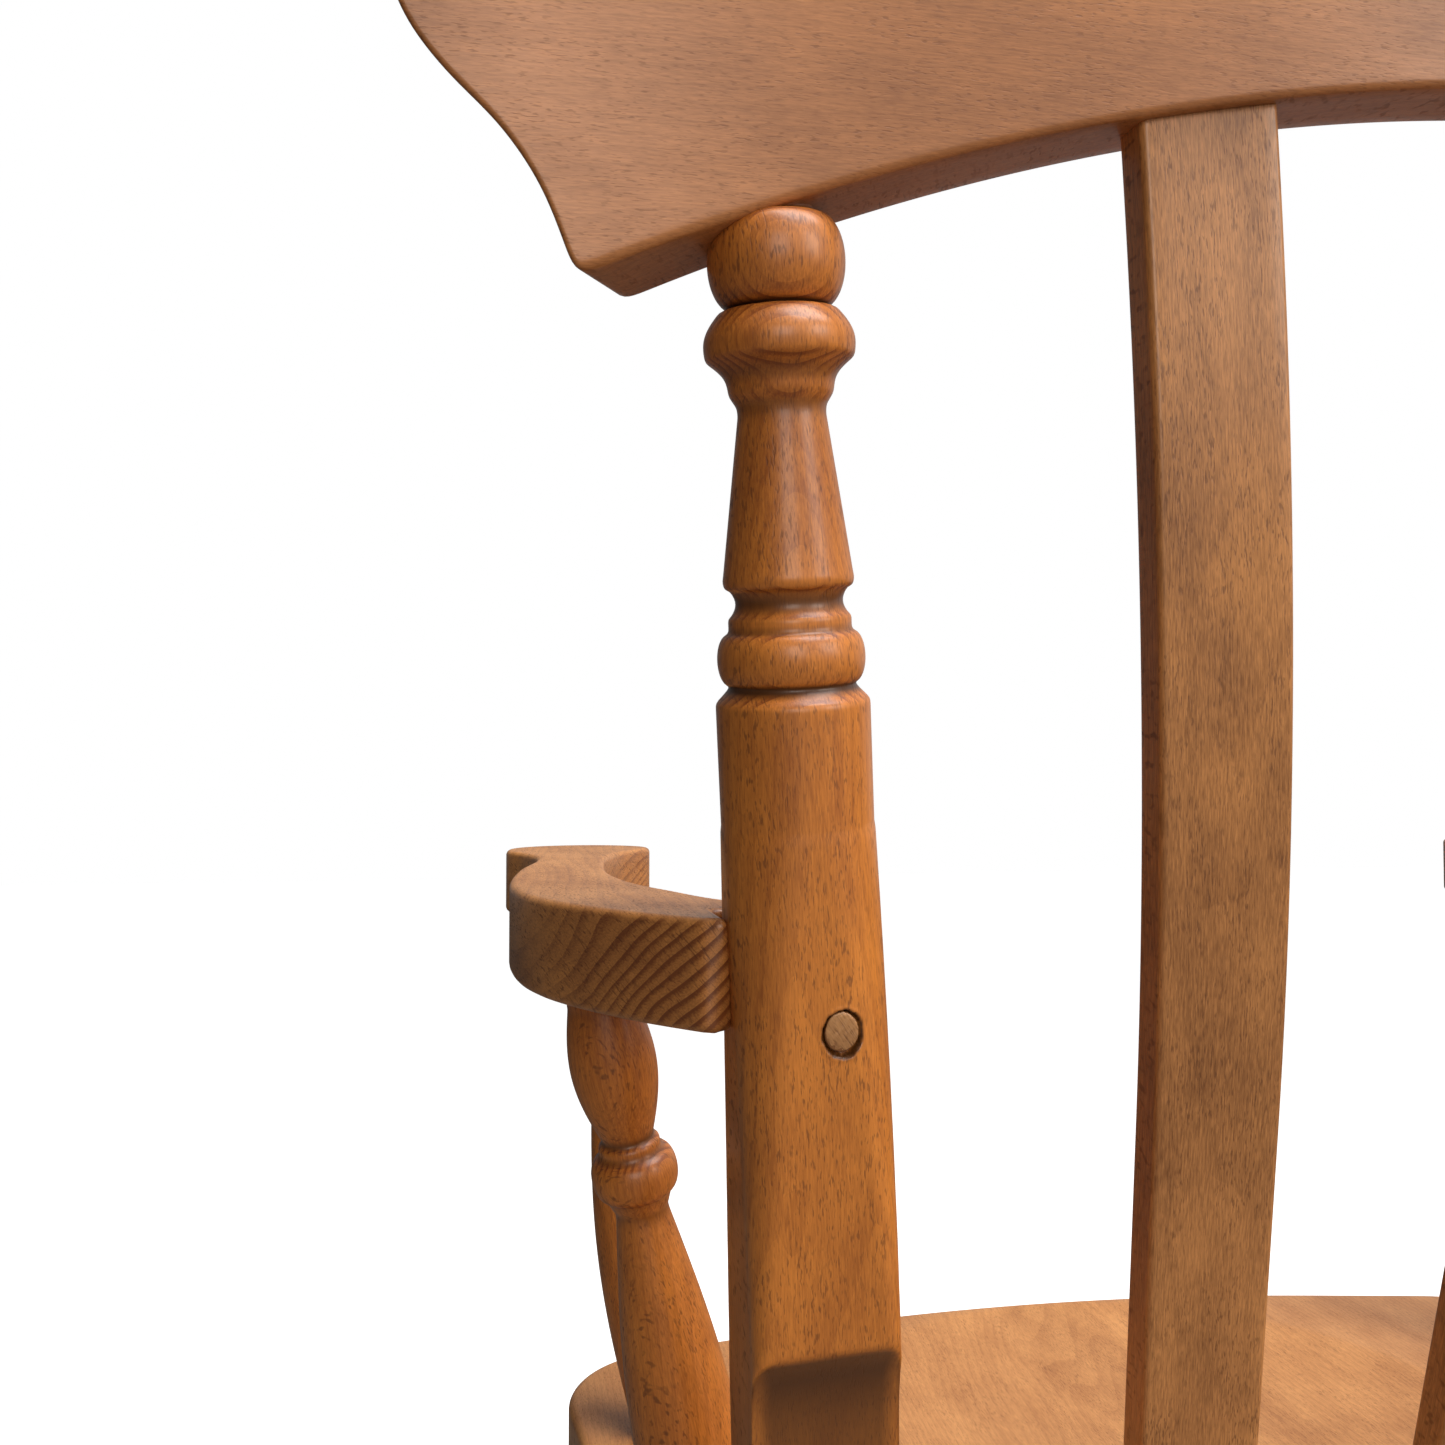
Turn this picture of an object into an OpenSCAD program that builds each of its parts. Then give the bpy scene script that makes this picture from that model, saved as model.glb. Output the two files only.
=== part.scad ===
// Lath-back rocking chair in turned and sawn beech, on two curved rockers.
// The origin is on the floor, at the middle of the chair's length and width.
// The chair faces -Y, and the sitter's left is +X.
// Seat, back and arms are drawn in the seat frame: its origin lies on the seat's top,
// midway between the back posts, and the module reclined() leans that frame backwards.

/* [Seat] */
// Height of the seat's top above the floor, at the back posts
seat_h = 415; // [390:1:440]
// How far behind the chair's middle the back posts enter the seat
seat_y = 108; // [90:1:125]
// Backward lean of the whole seat and back at rest, in degrees
recline = 3; // [1:0.5:5]
// Thickness of the seat
seat_t = 38; // [34:1:44]
// Half the seat's width near the front
seat_front_half = 277; // [265:1:290]
// Half the seat's width at the back
seat_rear_half = 245; // [240:1:255]
// From the back posts forward to the middle of the front edge
seat_front = 352; // [335:1:370]
// From the back posts back to the rear edge
seat_rear = 42; // [38:1:50]
// Depth of the hollow scooped in the seat's top
dish_depth = 9; // [4:1:12]

/* [Back posts] */
// Half the distance between the posts at the seat
post_x = 214; // [205:1:220]
// Outward lean of each post, in degrees
post_lean = 4; // [2:0.5:5]
// Backward rake of the post where it enters the seat
post_rake_low = 17.5; // [16:0.5:19]
// Backward rake of the post's turned top
post_rake_top = 8; // [6:0.5:10]
// Height at which the post's bend ends and its straight, turned top begins
post_turn_z = 290; // [270:5:300]
// Side of the post's square, round-cornered, bent length
post_side = 41.5; // [38:0.5:44]
// Diameter of the turned body above it
post_d = 40; // [36:0.5:42]
// Depth of the relief cut across the rear of a post's foot
post_relief = 6.5; // [3:0.5:6.5]

/* [Laths] */
// Width of a back lath
lath_w = 39; // [30:1:42]
// Thickness of a back lath
lath_t = 13; // [10:0.5:15]
// Distance of an outer lath from the middle, at the seat
lath_x = 93; // [80:1:100]
// Outward lean of an outer lath, in degrees
lath_lean = 4.8; // [4:0.1:7]
// Backward rake of a lath's lower length
lath_rake_low = 15; // [13:0.5:17]
// Backward rake of a lath where it enters the crest rail
lath_rake_top = 3; // [2:0.5:5]
// Height at which a lath starts to bow
lath_bend_z = 200; // [180:5:215]

/* [Crest rail] */
// Thickness of the crest rail
crest_t = 27; // [24:1:32]
// Backward lean of the crest rail
crest_rake = 6; // [4:0.5:9]
// Width of the crest rail's front face, as a share of its rear face's
crest_front_share = 0.953; // [0.94:0.001:1]
// Height of the crest rail's underside beside the posts
crest_z = 437.5; // [430:0.5:445]
// Radius of the arched underside
crest_arch_r = 665; // [600:5:750]
// Rise of the arch above the height beside the posts, at the middle
crest_arch_top = 50.5; // [45:0.5:56]
// Height of the top edge at the middle, above the height beside the posts
crest_top = 158; // [145:1:170]

/* [Arms] */
// Height of the arm's top above the seat
arm_z = 265; // [258:1:272]
// Thickness of the arm
arm_t = 30; // [26:1:34]

/* [Rockers] */
// Radius of the rocker's rolling edge
rocker_r = 1050; // [900:10:1200]
// Radius of the rocker's top edge
rocker_top_r = 1480; // [1400:10:1600]
// Height of the rocker above its contact with the floor
rocker_h = 58; // [52:1:64]
// Width of a rocker
rocker_w = 30; // [26:1:34]
// Length of a rocker
rocker_len = 830; // [780:5:860]
// Distance of a rocker from the chair's middle
rocker_x = 234; // [225:1:245]
// How far behind the middle a rocker touches the floor at rest
rocker_low_y = 27; // [10:1:40]

/* [Legs and stretchers] */
// Greatest diameter of a leg
leg_d = 42; // [38:1:46]
// Greatest diameter of a stretcher
stretcher_d = 26; // [22:1:30]
// How far up the legs the stretchers join, as a share of the leg
stretcher_share = 0.36; // [0.3:0.01:0.45]

/* [Joints] */
// Diameter of the tenons on the back posts' feet
post_tenon_d = 28; // [24:1:32]
// Diameter of the tenons on the back posts' necks
neck_tenon_d = 19.5; // [16:0.5:22]
// Diameter of the tenons on the arm posts
arm_post_tenon_d = 15; // [12:0.5:18]
// Diameter of the tenons on the legs
leg_tenon_d = 24; // [20:0.5:26]
// Diameter of the tenons on the stretchers
stretcher_tenon_d = 13; // [10:0.5:15]
// Diameter of the wooden plugs that hide the arm screws
plug_d = 10.5; // [9:0.5:12]
// Gap left for glue round every tenon
glue_gap = 0.1; // [0.05:0.05:0.3]

/* [Quality] */
// Number of facets round turned pieces
turned_fn = 64; // [32:8:96]

/* [Hidden] */
$fn = turned_fn;

// Colours of the stained beech
beech = "#B0703A";
beech_light = "#C08A5A";
beech_dark = "#8E6236";

// Depths of the tenons in their sockets
post_tenon = 26;
neck_tenon = 28;
lath_tenon = 20;
arm_post_tenon = 18;
leg_tenon = 24;
leg_foot_tenon = 30;
stretcher_tenon = 13;

// Radius of the bend in a post and of the bow in a lath, and where each ends
post_bend_r = post_turn_z / (sin(post_rake_low) - sin(post_rake_top));
post_turn_y = post_bend_r * (cos(post_rake_top) - cos(post_rake_low));
lath_y = -4;
lath_bow_r = 1334;
lath_bend_y = lath_bend_z * tan(lath_rake_low);
lath_top_y = lath_bend_y + lath_bow_r * (cos(lath_rake_top) - cos(lath_rake_low));
lath_top_z = lath_bend_z + lath_bow_r * (sin(lath_rake_low) - sin(lath_rake_top));

// How far the side laths and the centre lath go into the crest rail
lath_side_head = 23;
lath_centre_head = 34;

// Radius of a post's corners; height and radius of the hollow that ends its relief cut
post_corner = 13;
relief_top = 154;
relief_r = 43;

// Heights on the post's turned top, measured along its axis from the end of the bend
body_end = 33.5;
neck_end = 153;
crest_y = post_turn_y + (crest_z - post_turn_z) * tan(post_rake_top);
crest_bore = 5;

// Where the topmost bead ends, and the hollow in the crest rail's underside that takes its shoulder
bead_seat_r1 = 18.4;
bead_seat_r2 = 15.2;
bead_seat_h = 11;
bead_seat_room = 0.4;
bead_end = 151;

// Ends of the arm posts' axes in the seat frame, for the left side
arm_under = arm_z - arm_t;
front_arm_foot = [231, -222, 0];
front_arm_head = [265, -262, arm_under];
rear_arm_foot = [229.5, -62, 0];
rear_arm_head = [279, -26, arm_under];

// Arm screw: where it enters the post's rear, and the way it runs, in the seat frame
screw_from = [225.4, 78.4, 236.6];
screw_yaw = 22;
screw_rise = 9;
screw_len = 70;
plug_depth = 14;
screw_head_d = 9;
screw_d = 4.5;
screw_head_h = 4;

// Spare length on a turning before its shoulder is cut to the piece it meets, and the size
// of the blocks that cut it
shoulder = 5;
room = 800;

// Ends of the legs, for the left side
leg_front_head = seat_to_room([186, -272, -seat_t]);
leg_rear_head = seat_to_room([168, -18, -seat_t]);
leg_front_foot = [rocker_x, -212, rocker_top(-212)];
leg_rear_foot = [rocker_x, 178, rocker_top(178)];

// Ends of the stretchers
side_front = mix(leg_front_foot, leg_front_head, stretcher_share);
side_rear = mix(leg_rear_foot, leg_rear_head, stretcher_share);
cross_end = mix(side_front, side_rear, 0.5);

// How far a stretcher's shoulder is from the axis of the leg or stretcher it enters
leg_bury = 21.4;
cross_bury = 12.8;

// Where a rocker's round tip begins, before its own height is known; the cross pegs that lock
// a leg's foot, and how far below the rocker's top edge they run
tip_guess = 18;
peg_d = 8;
peg_drop = 18;

// ---------------------------------------------------------------- shared functions

function unit(v) = v / norm(v);
function mix(a, b, t) = a + (b - a) * t;
function flip(p) = [-p.x, p.y, p.z];

// A point of the seat frame, in the room's frame
function seat_to_room(p) = [
    p.x,
    seat_y + p.y * cos(recline) + p.z * sin(recline),
    seat_h - p.y * sin(recline) + p.z * cos(recline)
];

// Height of the rocker's top edge at a place along the chair
function rocker_top(y) =
    rocker_h + rocker_top_r - sqrt(rocker_top_r * rocker_top_r - pow(y - rocker_low_y, 2));

// Place of the back post's axis, behind the seat frame's origin, at a height on its bend
function post_axis_y(z) =
    post_bend_r * (cos(asin(sin(post_rake_low) - z / post_bend_r)) - cos(post_rake_low));

// Arc that rounds the corner b between a and c
function corner(a, b, c, r, n = 6) = let(
    u = unit(a - b),
    v = unit(c - b),
    half = acos(u * v) / 2,
    centre = b + unit(u + v) * r / sin(half),
    from = b + u * r / tan(half) - centre,
    to = b + v * r / tan(half) - centre,
    start = atan2(from.y, from.x),
    sweep = (atan2(to.y, to.x) - start + 540) % 360 - 180
) [for (i = [0:n]) centre + r * [cos(start + sweep * i / n), sin(start + sweep * i / n)]];

// Outline of a polygon whose corners [x, y, radius] are rounded
function rounded(c) = let(last = len(c) - 1) [
    for (i = [0:last]) each corner(
        [c[i == 0 ? last : i - 1].x, c[i == 0 ? last : i - 1].y],
        [c[i].x, c[i].y],
        [c[i == last ? 0 : i + 1].x, c[i == last ? 0 : i + 1].y],
        c[i][2])
];

// Smooth curve through a list of points, n steps from each point to the next
function spline(p, n = 4) = let(last = len(p) - 1) concat([
    for (i = [0:last - 1])
        let(a = p[max(i - 1, 0)], b = p[i], c = p[i + 1], d = p[min(i + 2, last)])
        for (j = [0:n - 1])
            let(t = j / n)
            0.5 * (2 * b + (c - a) * t + (2 * a - 5 * b + 4 * c - d) * t * t
                + (3 * b - a - 3 * c + d) * t * t * t)
], [p[last]]);

// Stretch of a turned outline: an even taper with a swell (or, below zero, a hollow)
function sweep_line(z0, z1, r0, r1, swell = 0, n = 6) = [
    for (i = [0:n]) [r0 + (r1 - r0) * i / n + swell * sin(180 * i / n), z0 + (z1 - z0) * i / n]
];

// Turned bead of a full half-round section
function bead(z0, z1, r, out, n = 8) = [
    for (i = [0:n])
        [r + out * sin(180 * i / n), (z0 + z1) / 2 - (z1 - z0) / 2 * cos(180 * i / n)]
];

// ---------------------------------------------------------------- shared modules

module reclined() {
    translate([0, seat_y, seat_h])
        rotate([-recline, 0, 0])
            children();
}

module right_side() {
    mirror([1, 0, 0])
        children();
}

// Turns children about the axis from a to b, with a at their origin
module between(a, b) {
    d = b - a;
    start_turn = 40;
    translate(a)
        rotate([0, acos(d.z / norm(d)), atan2(d.y, d.x)])
            rotate([0, 0, start_turn])
                children();
}

// Solid of revolution from a list of [radius, height] that starts and ends off the axis
module turned(line) {
    rotate_extrude()
        polygon(concat([[0, line[0].y]], line, [[0, line[len(line) - 1].y]]));
}

// Round-cornered rectangle about the origin
module rounded_rect(w, h, r) {
    square([w - 2 * r, h], center = true);
    square([w, h - 2 * r], center = true);
    for (x = [-1, 1], y = [-1, 1])
        translate([x * (w / 2 - r), y * (h / 2 - r)])
            circle(r);
}

// Sweeps a section, drawn as [depth, width], round a bend that begins at [y, z];
// more is an angle by which the bend also runs on below its beginning
module bend(y, z, rake_from, rake_to, radius, more = 0) {
    translate([0, y - radius * cos(rake_from), z + radius * sin(rake_from)])
        rotate([90, 0, 90])
            rotate([0, 0, -rake_from - more])
                rotate_extrude(angle = rake_from + more - rake_to, $fn = 360)
                    translate([radius, 0])
                        children();
}

// ---------------------------------------------------------------- back posts

module post_frame() {
    translate([post_x, 0, 0])
        rotate([0, post_lean, 0])
            children();
}

module post_foot_tenon(gap = 0) {
    post_frame()
        rotate([-post_rake_low, 0, 0])
            translate([0, 0, -post_tenon - gap])
                cylinder(d = post_tenon_d + 2 * gap, h = post_tenon + gap + 12);
}

module post_top_axis() {
    post_frame()
        translate([0, post_turn_y, post_turn_z])
            rotate([-post_rake_top, 0, 0])
                children();
}

module neck_tenon(gap = 0) {
    post_top_axis()
        translate([0, 0, neck_end])
            cylinder(d = neck_tenon_d + 2 * gap, h = neck_tenon + gap);
}

// Turned top: body, beads, coves and the long cone, up to the neck's tenon
module post_turning() {
    r = post_d / 2;
    post_top_axis()
        turned(concat(
            [[r, -shoulder], [r, body_end - 0.5], [r - 0.5, body_end]],
            [[r - 2.8, body_end + 2.7]],
            bead(37.5, 51, 16.3, 3),
            [[16, 51.5], [16, 55]],
            sweep_line(55.5, 62, 15.2, 15.2, -1.3),
            [[16.6, 62.6], [17.1, 64.4], [16.8, 66]],
            sweep_line(66, 106.5, 16.8, 11.3, 0, 1),
            [[11.5, 108.5], [13.4, 111.5], [13.6, 113]],
            sweep_line(113, 119.8, 13.6, 18.4, -1.2),
            sweep_line(120.3, 132, 19, 15.1, 1.9),
            bead(132.5, bead_end, 11.5, 6),
            [[neck_tenon_d / 2, bead_end + 0.2], [neck_tenon_d / 2, neck_end + neck_tenon]]));
}

// Square length with round corners, bent backwards
module post_bend(more) {
    post_frame()
        bend(0, 0, post_rake_low, post_rake_top, post_bend_r, more)
            rounded_rect(post_side, post_side, post_corner);
}

// The bent length, cut level with the seat's top
module post_body() {
    difference() {
        post_bend(1);
        foot_relief();
        translate([-room / 2, -room / 2, -2 * seat_t])
            cube([room, room, 2 * seat_t]);
    }
}

// Relief cut across the rear of a post's foot: it follows the bend and ends in a hollow
module foot_relief() {
    flat = post_side / 2 - post_relief;
    wide = post_side + 10;
    hollow_rise = sqrt(relief_r * relief_r - pow(relief_r - post_relief, 2));
    rake = asin(sin(post_rake_low) - (relief_top - hollow_rise) / post_bend_r);
    hollow_from_bend = post_bend_r + flat + relief_r - 0.3;
    post_frame() {
        bend(0, 0, post_rake_low, rake, post_bend_r, 2)
            translate([flat, -wide / 2])
                square([post_relief + 10, wide]);
        translate([0, -post_bend_r * cos(post_rake_low), post_bend_r * sin(post_rake_low)])
            rotate([-rake, 0, 0])
                translate([0, hollow_from_bend, 0])
                    rotate([0, 90, 0])
                        cylinder(r = relief_r, h = wide, center = true);
    }
}

module back_post() {
    color(beech)
        difference() {
            union() {
                post_body();
                post_turning();
                post_foot_tenon();
            }
            arm_fixing(glue_gap);
        }
}

// ---------------------------------------------------------------- laths

module lath(x, lean, head) {
    color(beech)
        translate([x, lath_y, 0])
            rotate([0, lean, 0]) {
                rotate([-lath_rake_low, 0, 0])
                    translate([-lath_w / 2, -lath_t / 2, -lath_tenon])
                        cube([lath_w, lath_t, lath_tenon + lath_bend_z / cos(lath_rake_low)]);
                bend(lath_bend_y, lath_bend_z, lath_rake_low, lath_rake_top, lath_bow_r)
                    square([lath_t, lath_w], center = true);
                translate([0, lath_top_y, lath_top_z])
                    rotate([-lath_rake_top, 0, 0])
                        translate([-lath_w / 2, -lath_t / 2, 0])
                            cube([lath_w, lath_t, head]);
            }
}

// A lath's foot or head, with room for glue, to cut its mortise
module lath_mortises(x, lean, head) {
    w = lath_w + 2 * glue_gap;
    t = lath_t + 2 * glue_gap;
    translate([x, lath_y, 0])
        rotate([0, lean, 0]) {
            rotate([-lath_rake_low, 0, 0])
                translate([-w / 2, -t / 2, -lath_tenon - glue_gap])
                    cube([w, t, lath_tenon + 20]);
            translate([0, lath_top_y, lath_top_z])
                rotate([-lath_rake_top, 0, 0])
                    translate([-w / 2, -t / 2, -25])
                        cube([w, t, head + glue_gap + 25]);
        }
}

module all_lath_mortises() {
    lath_mortises(0, 0, lath_centre_head);
    lath_mortises(lath_x, lath_lean, lath_side_head);
    right_side()
        lath_mortises(lath_x, lath_lean, lath_side_head);
}

// ---------------------------------------------------------------- crest rail

// One end of the crest rail, from the lower tip round the ear to the middle of the top
crest_end_x = 296;
crest_end = spline([
    [crest_end_x, crest_arch_top - pow(crest_end_x, 2) / (2 * crest_arch_r)],
    [304, 4], [314, 18], [328, 31], [337, 43], [341, 58], [336, 74], [321, 84], [298, 88],
    [272, 96], [225, 119], [150, 142], [75, 154], [0, crest_top]
]);

function crest_arch(x) = crest_arch_top - x * x / (2 * crest_arch_r);

module crest_outline() {
    count = len(crest_end);
    steps = 24;
    polygon(concat(
        [for (i = [1:steps - 1])
            let(x = -crest_end_x + 2 * crest_end_x * i / steps) [x, crest_arch(x)]],
        crest_end,
        [for (i = [count - 2:-1:0]) [-crest_end[i].x, crest_end[i].y]]));
}

module crest_rail() {
    color(beech_light)
        difference() {
            translate([0, crest_y, crest_z])
                rotate([-crest_rake, 0, 0])
                    rotate([90, 0, 0])
                        linear_extrude(crest_t, center = true, scale = [crest_front_share, 1], slices = 1)
                            crest_outline();
            neck_tenon(glue_gap);
            right_side()
                neck_tenon(glue_gap);
            all_lath_mortises();
            neck_shoulders();
            right_side()
                neck_shoulders();
        }
}

// Room for the neck and for the rounded shoulder of the bead below it
module neck_shoulders() {
    post_top_axis()
        translate([0, 0, neck_end - crest_bore])
            cylinder(d = neck_tenon_d + 2 * glue_gap, h = crest_bore + 1);
    post_top_axis()
        translate([0, 0, bead_end + bead_seat_room - bead_seat_h])
            cylinder(r1 = bead_seat_r1, r2 = bead_seat_r2, h = bead_seat_h);
}

// ---------------------------------------------------------------- arms

// Outline of the left arm, from the outer rear corner round the hand to the inner rear corner
arm_outline = concat(
    spline([
        [258, 66], [274, 46], [288, 23], [299, -3], [305, -34], [306, -77], [301, -135],
        [293, -185], [291, -216], [296, -243], [303, -266], [300, -290], [286, -307],
        [266, -314], [246, -310], [233, -297], [231, -281], [241, -262], [252, -238],
        [261, -196], [266, -146], [267, -100], [263, -58], [254, -24], [245, 6],
        [232, 25], [214, 32]
    ]),
    [[214, 66]]);

module arm_post_socket(foot, head) {
    between(foot, head)
        translate([0, 0, norm(head - foot) - 8])
            cylinder(d = arm_post_tenon_d + 2 * glue_gap, h = arm_post_tenon + glue_gap + 8);
}

module arm() {
    color(beech)
        difference() {
            translate([0, 0, arm_under])
                linear_extrude(arm_t)
                    polygon(arm_outline);
            translate([0, 0, arm_under - 50])
                arm_post_notch();
            arm_post_socket(front_arm_foot, front_arm_head);
            arm_post_socket(rear_arm_foot, rear_arm_head);
            arm_fixing(glue_gap);
        }
}

// Notch that lets the back post into the arm's rear end, a straight cut at the arm's height
module arm_post_notch() {
    lean_x = post_x + (arm_z - arm_t / 2) * tan(post_lean);
    notch_w = post_side + 4;
    notch_front = post_axis_y(arm_under) - post_side / 2 - 1.5;
    translate([lean_x - notch_w / 2 - 60, notch_front, 0])
        cube([notch_w + 60, 80, 150]);
}

// ---------------------------------------------------------------- arm screws and plugs

module screw_axis() {
    translate(screw_from)
        rotate([0, 0, screw_yaw])
            rotate([90 - screw_rise, 0, 0])
                children();
}

// Clearance for the plug, the screw's head and its shank
module arm_fixing(gap) {
    screw_axis() {
        translate([0, 0, -12])
            cylinder(d = plug_d + 2 * gap, h = plug_depth + 12);
        translate([0, 0, plug_depth - 1])
            cylinder(d = screw_head_d + 2 * gap, h = screw_head_h + 1);
        cylinder(d = screw_d + 2 * gap, h = screw_len + gap);
    }
}

module arm_screw() {
    color("silver")
        screw_axis() {
            translate([0, 0, plug_depth + 0.5])
                cylinder(d1 = screw_head_d, d2 = screw_d, h = screw_head_h - 0.5);
            translate([0, 0, plug_depth + screw_head_h - 0.5])
                cylinder(d = screw_d, h = screw_len - plug_depth - screw_head_h - 5.5);
            translate([0, 0, screw_len - 6])
                cylinder(d1 = screw_d, d2 = 1, h = 5.5);
        }
}

// Plug, pared flush with the rear of the post
module arm_plug() {
    color(beech_dark)
        intersection() {
            post_bend(0);
            screw_axis()
                translate([0, 0, -shoulder])
                    cylinder(d = plug_d, h = plug_depth + shoulder);
        }
}

// ---------------------------------------------------------------- arm posts

// Vase-shaped turning that stands between the seat and an arm
module arm_post(foot, head) {
    tall = norm(head - foot);
    r = arm_post_tenon_d / 2;
    color(beech) {
        difference() {
            between(foot, head)
                turned(concat(
                    [[13.2, -shoulder]],
                    sweep_line(1, tall - 80, 13.2, 9, 7.2, 10),
                    [[8.8, tall - 77.5]],
                    bead(tall - 71.5, tall - 58, 11.3, 3),
                    [[10.2, tall - 56.5], [10.2, tall - 54]],
                    sweep_line(tall - 52.5, tall - 6, 8.4, 11, 4.4, 10),
                    [[10.8, tall + shoulder]]));
            for (z = [-seat_t, arm_under])
                translate([-room / 2, -room / 2, z])
                    cube([room, room, seat_t]);
        }
        between(foot, head)
            for (z = [-arm_post_tenon, tall - 2 * shoulder])
                translate([0, 0, z])
                    cylinder(r = r, h = arm_post_tenon + 2 * shoulder);
    }
}

// ---------------------------------------------------------------- seat

module seat_blank() {
    difference() {
        translate([0, 0, -seat_t])
            linear_extrude(seat_t)
                polygon(rounded([
                    [-seat_rear_half, seat_rear, 34],
                    [-seat_front_half, 48 - seat_front, 58],
                    [0, -seat_front - 4, 850],
                    [seat_front_half, 48 - seat_front, 58],
                    [seat_rear_half, seat_rear, 34]
                ]));
        dish_r = 1500;
        translate([0, -175, dish_r - dish_depth])
            sphere(dish_r, $fn = 240);
    }
}

module arm_post_foot_socket(foot, head) {
    between(foot, head)
        translate([0, 0, -arm_post_tenon - glue_gap])
            cylinder(d = arm_post_tenon_d + 2 * glue_gap, h = arm_post_tenon + 12);
}

module seat_sockets() {
    post_foot_tenon(glue_gap);
    arm_post_foot_socket(front_arm_foot, front_arm_head);
    arm_post_foot_socket(rear_arm_foot, rear_arm_head);
}

module seat() {
    color(beech_light)
        difference() {
            reclined()
                difference() {
                    seat_blank();
                    seat_sockets();
                    right_side()
                        seat_sockets();
                    all_lath_mortises();
                }
            leg_head_tenons(glue_gap);
            right_side()
                leg_head_tenons(glue_gap);
        }
}

// ---------------------------------------------------------------- legs

module leg_head_tenon(foot, head, gap = 0) {
    between(foot, head)
        translate([0, 0, norm(head - foot) - 4])
            cylinder(d = leg_tenon_d + 2 * gap, h = leg_tenon + 4 + gap);
}

module leg_head_tenons(gap) {
    leg_head_tenon(leg_front_foot, leg_front_head, gap);
    leg_head_tenon(leg_rear_foot, leg_rear_head, gap);
}

module leg_foot_tenon(foot, head, gap = 0) {
    between(foot, head)
        translate([0, 0, -leg_foot_tenon - gap])
            cylinder(d = leg_tenon_d - 2 + 2 * gap, h = leg_foot_tenon + 12 + gap);
}

// Turned leg with a swelling where the stretchers enter, beads above and a tapering foot
module leg_turning(foot, head) {
    tall = norm(head - foot);
    r = leg_d / 2;
    mid = stretcher_share * tall;
    between(foot, head)
        turned(concat(
            [[14, -shoulder], [14.5, 2]],
            sweep_line(6, mid - 42, 15, 12.5, 1.5, 4),
            bead(mid - 39, mid - 31, 13.5, 3.5),
            sweep_line(mid - 30, mid + 30, 13.5, 13.5, r - 15, 10),
            bead(mid + 31, mid + 39, 13.5, 3.5),
            sweep_line(mid + 42, mid + 92, 12, 16.5, 4.5, 8),
            bead(mid + 94, mid + 103, 14, 4),
            sweep_line(mid + 105, tall - 4, 14, 14.5, 3, 8),
            [[14, tall + shoulder]]));
}

module leg(foot, head) {
    color(beech)
        difference() {
            union() {
                difference() {
                    leg_turning(foot, head);
                    rocker_blank();
                    reclined()
                        translate([-room / 2, -room / 2, -seat_t])
                            cube([room, room, 2 * seat_t]);
                }
                leg_foot_tenon(foot, head);
                leg_head_tenon(foot, head);
            }
            stretcher_sockets(side_front, side_rear, leg_bury);
            peg_at(foot, head, glue_gap);
        }
}

// ---------------------------------------------------------------- stretchers

// Sockets for both tenons of a stretcher from a to b, open towards its middle
module stretcher_sockets(a, b, bury) {
    deep = bury - stretcher_tenon - glue_gap;
    long = stretcher_tenon + shoulder;
    between(a, b)
        for (z = [deep, norm(b - a) - deep - long])
            translate([0, 0, z])
                cylinder(d = stretcher_tenon_d + 2 * glue_gap, h = long);
}

module stretcher_turning(a, b, bury, out) {
    tall = norm(b - a);
    r = stretcher_tenon_d / 2;
    mid = tall / 2;
    between(a, b)
        turned(concat(
            [[r, bury - stretcher_tenon], [r, bury], [8.5, bury + 0.4]],
            sweep_line(bury + 1, mid - 22, 8.5, 10.5, out, 8),
            bead(mid - 19, mid - 13, 10.5, 2),
            sweep_line(mid - 12, mid + 12, 11, 11, stretcher_d / 2 - 11, 6),
            bead(mid + 13, mid + 19, 10.5, 2),
            sweep_line(mid + 22, tall - bury - 1, 10.5, 8.5, out, 8),
            [[8.5, tall - bury - 0.4], [r, tall - bury], [r, tall - bury + stretcher_tenon]]));
}

module side_stretcher() {
    color(beech)
        difference() {
            stretcher_turning(side_front, side_rear, leg_bury, 1);
            stretcher_sockets(flip(cross_end), cross_end, cross_bury);
        }
}

module cross_stretcher() {
    color(beech)
        stretcher_turning(flip(cross_end), cross_end, cross_bury, 2);
}

// ---------------------------------------------------------------- rockers

// Half the rocker's height at a place along the chair
function rocker_half(y) =
    (rocker_top(y) - rocker_r + sqrt(rocker_r * rocker_r - pow(y - rocker_low_y, 2))) / 2;

// Centre of the round tip on one side
function tip_y(side) = side * (rocker_len / 2 - rocker_half(side * (rocker_len / 2 - tip_guess)));

module rocker_side() {
    intersection() {
        difference() {
            translate([rocker_low_y, rocker_r])
                circle(rocker_r, $fn = 720);
            translate([rocker_low_y, rocker_h + rocker_top_r])
                circle(rocker_top_r, $fn = 720);
        }
        translate([tip_y(-1), -1])
            square([tip_y(1) - tip_y(-1), room / 2]);
    }
    for (y = [tip_y(-1), tip_y(1)])
        translate([y, rocker_top(y) - rocker_half(y)])
            circle(rocker_half(y));
}

module rocker_blank() {
    translate([rocker_x - rocker_w / 2, 0, 0])
        rotate([90, 0, 90])
            linear_extrude(rocker_w)
                rocker_side();
}

module rocker() {
    color(beech)
        difference() {
            rocker_blank();
            leg_foot_tenon(leg_front_foot, leg_front_head, glue_gap);
            leg_foot_tenon(leg_rear_foot, leg_rear_head, glue_gap);
            peg_at(leg_front_foot, leg_front_head, glue_gap);
            peg_at(leg_rear_foot, leg_rear_head, glue_gap);
        }
}

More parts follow.
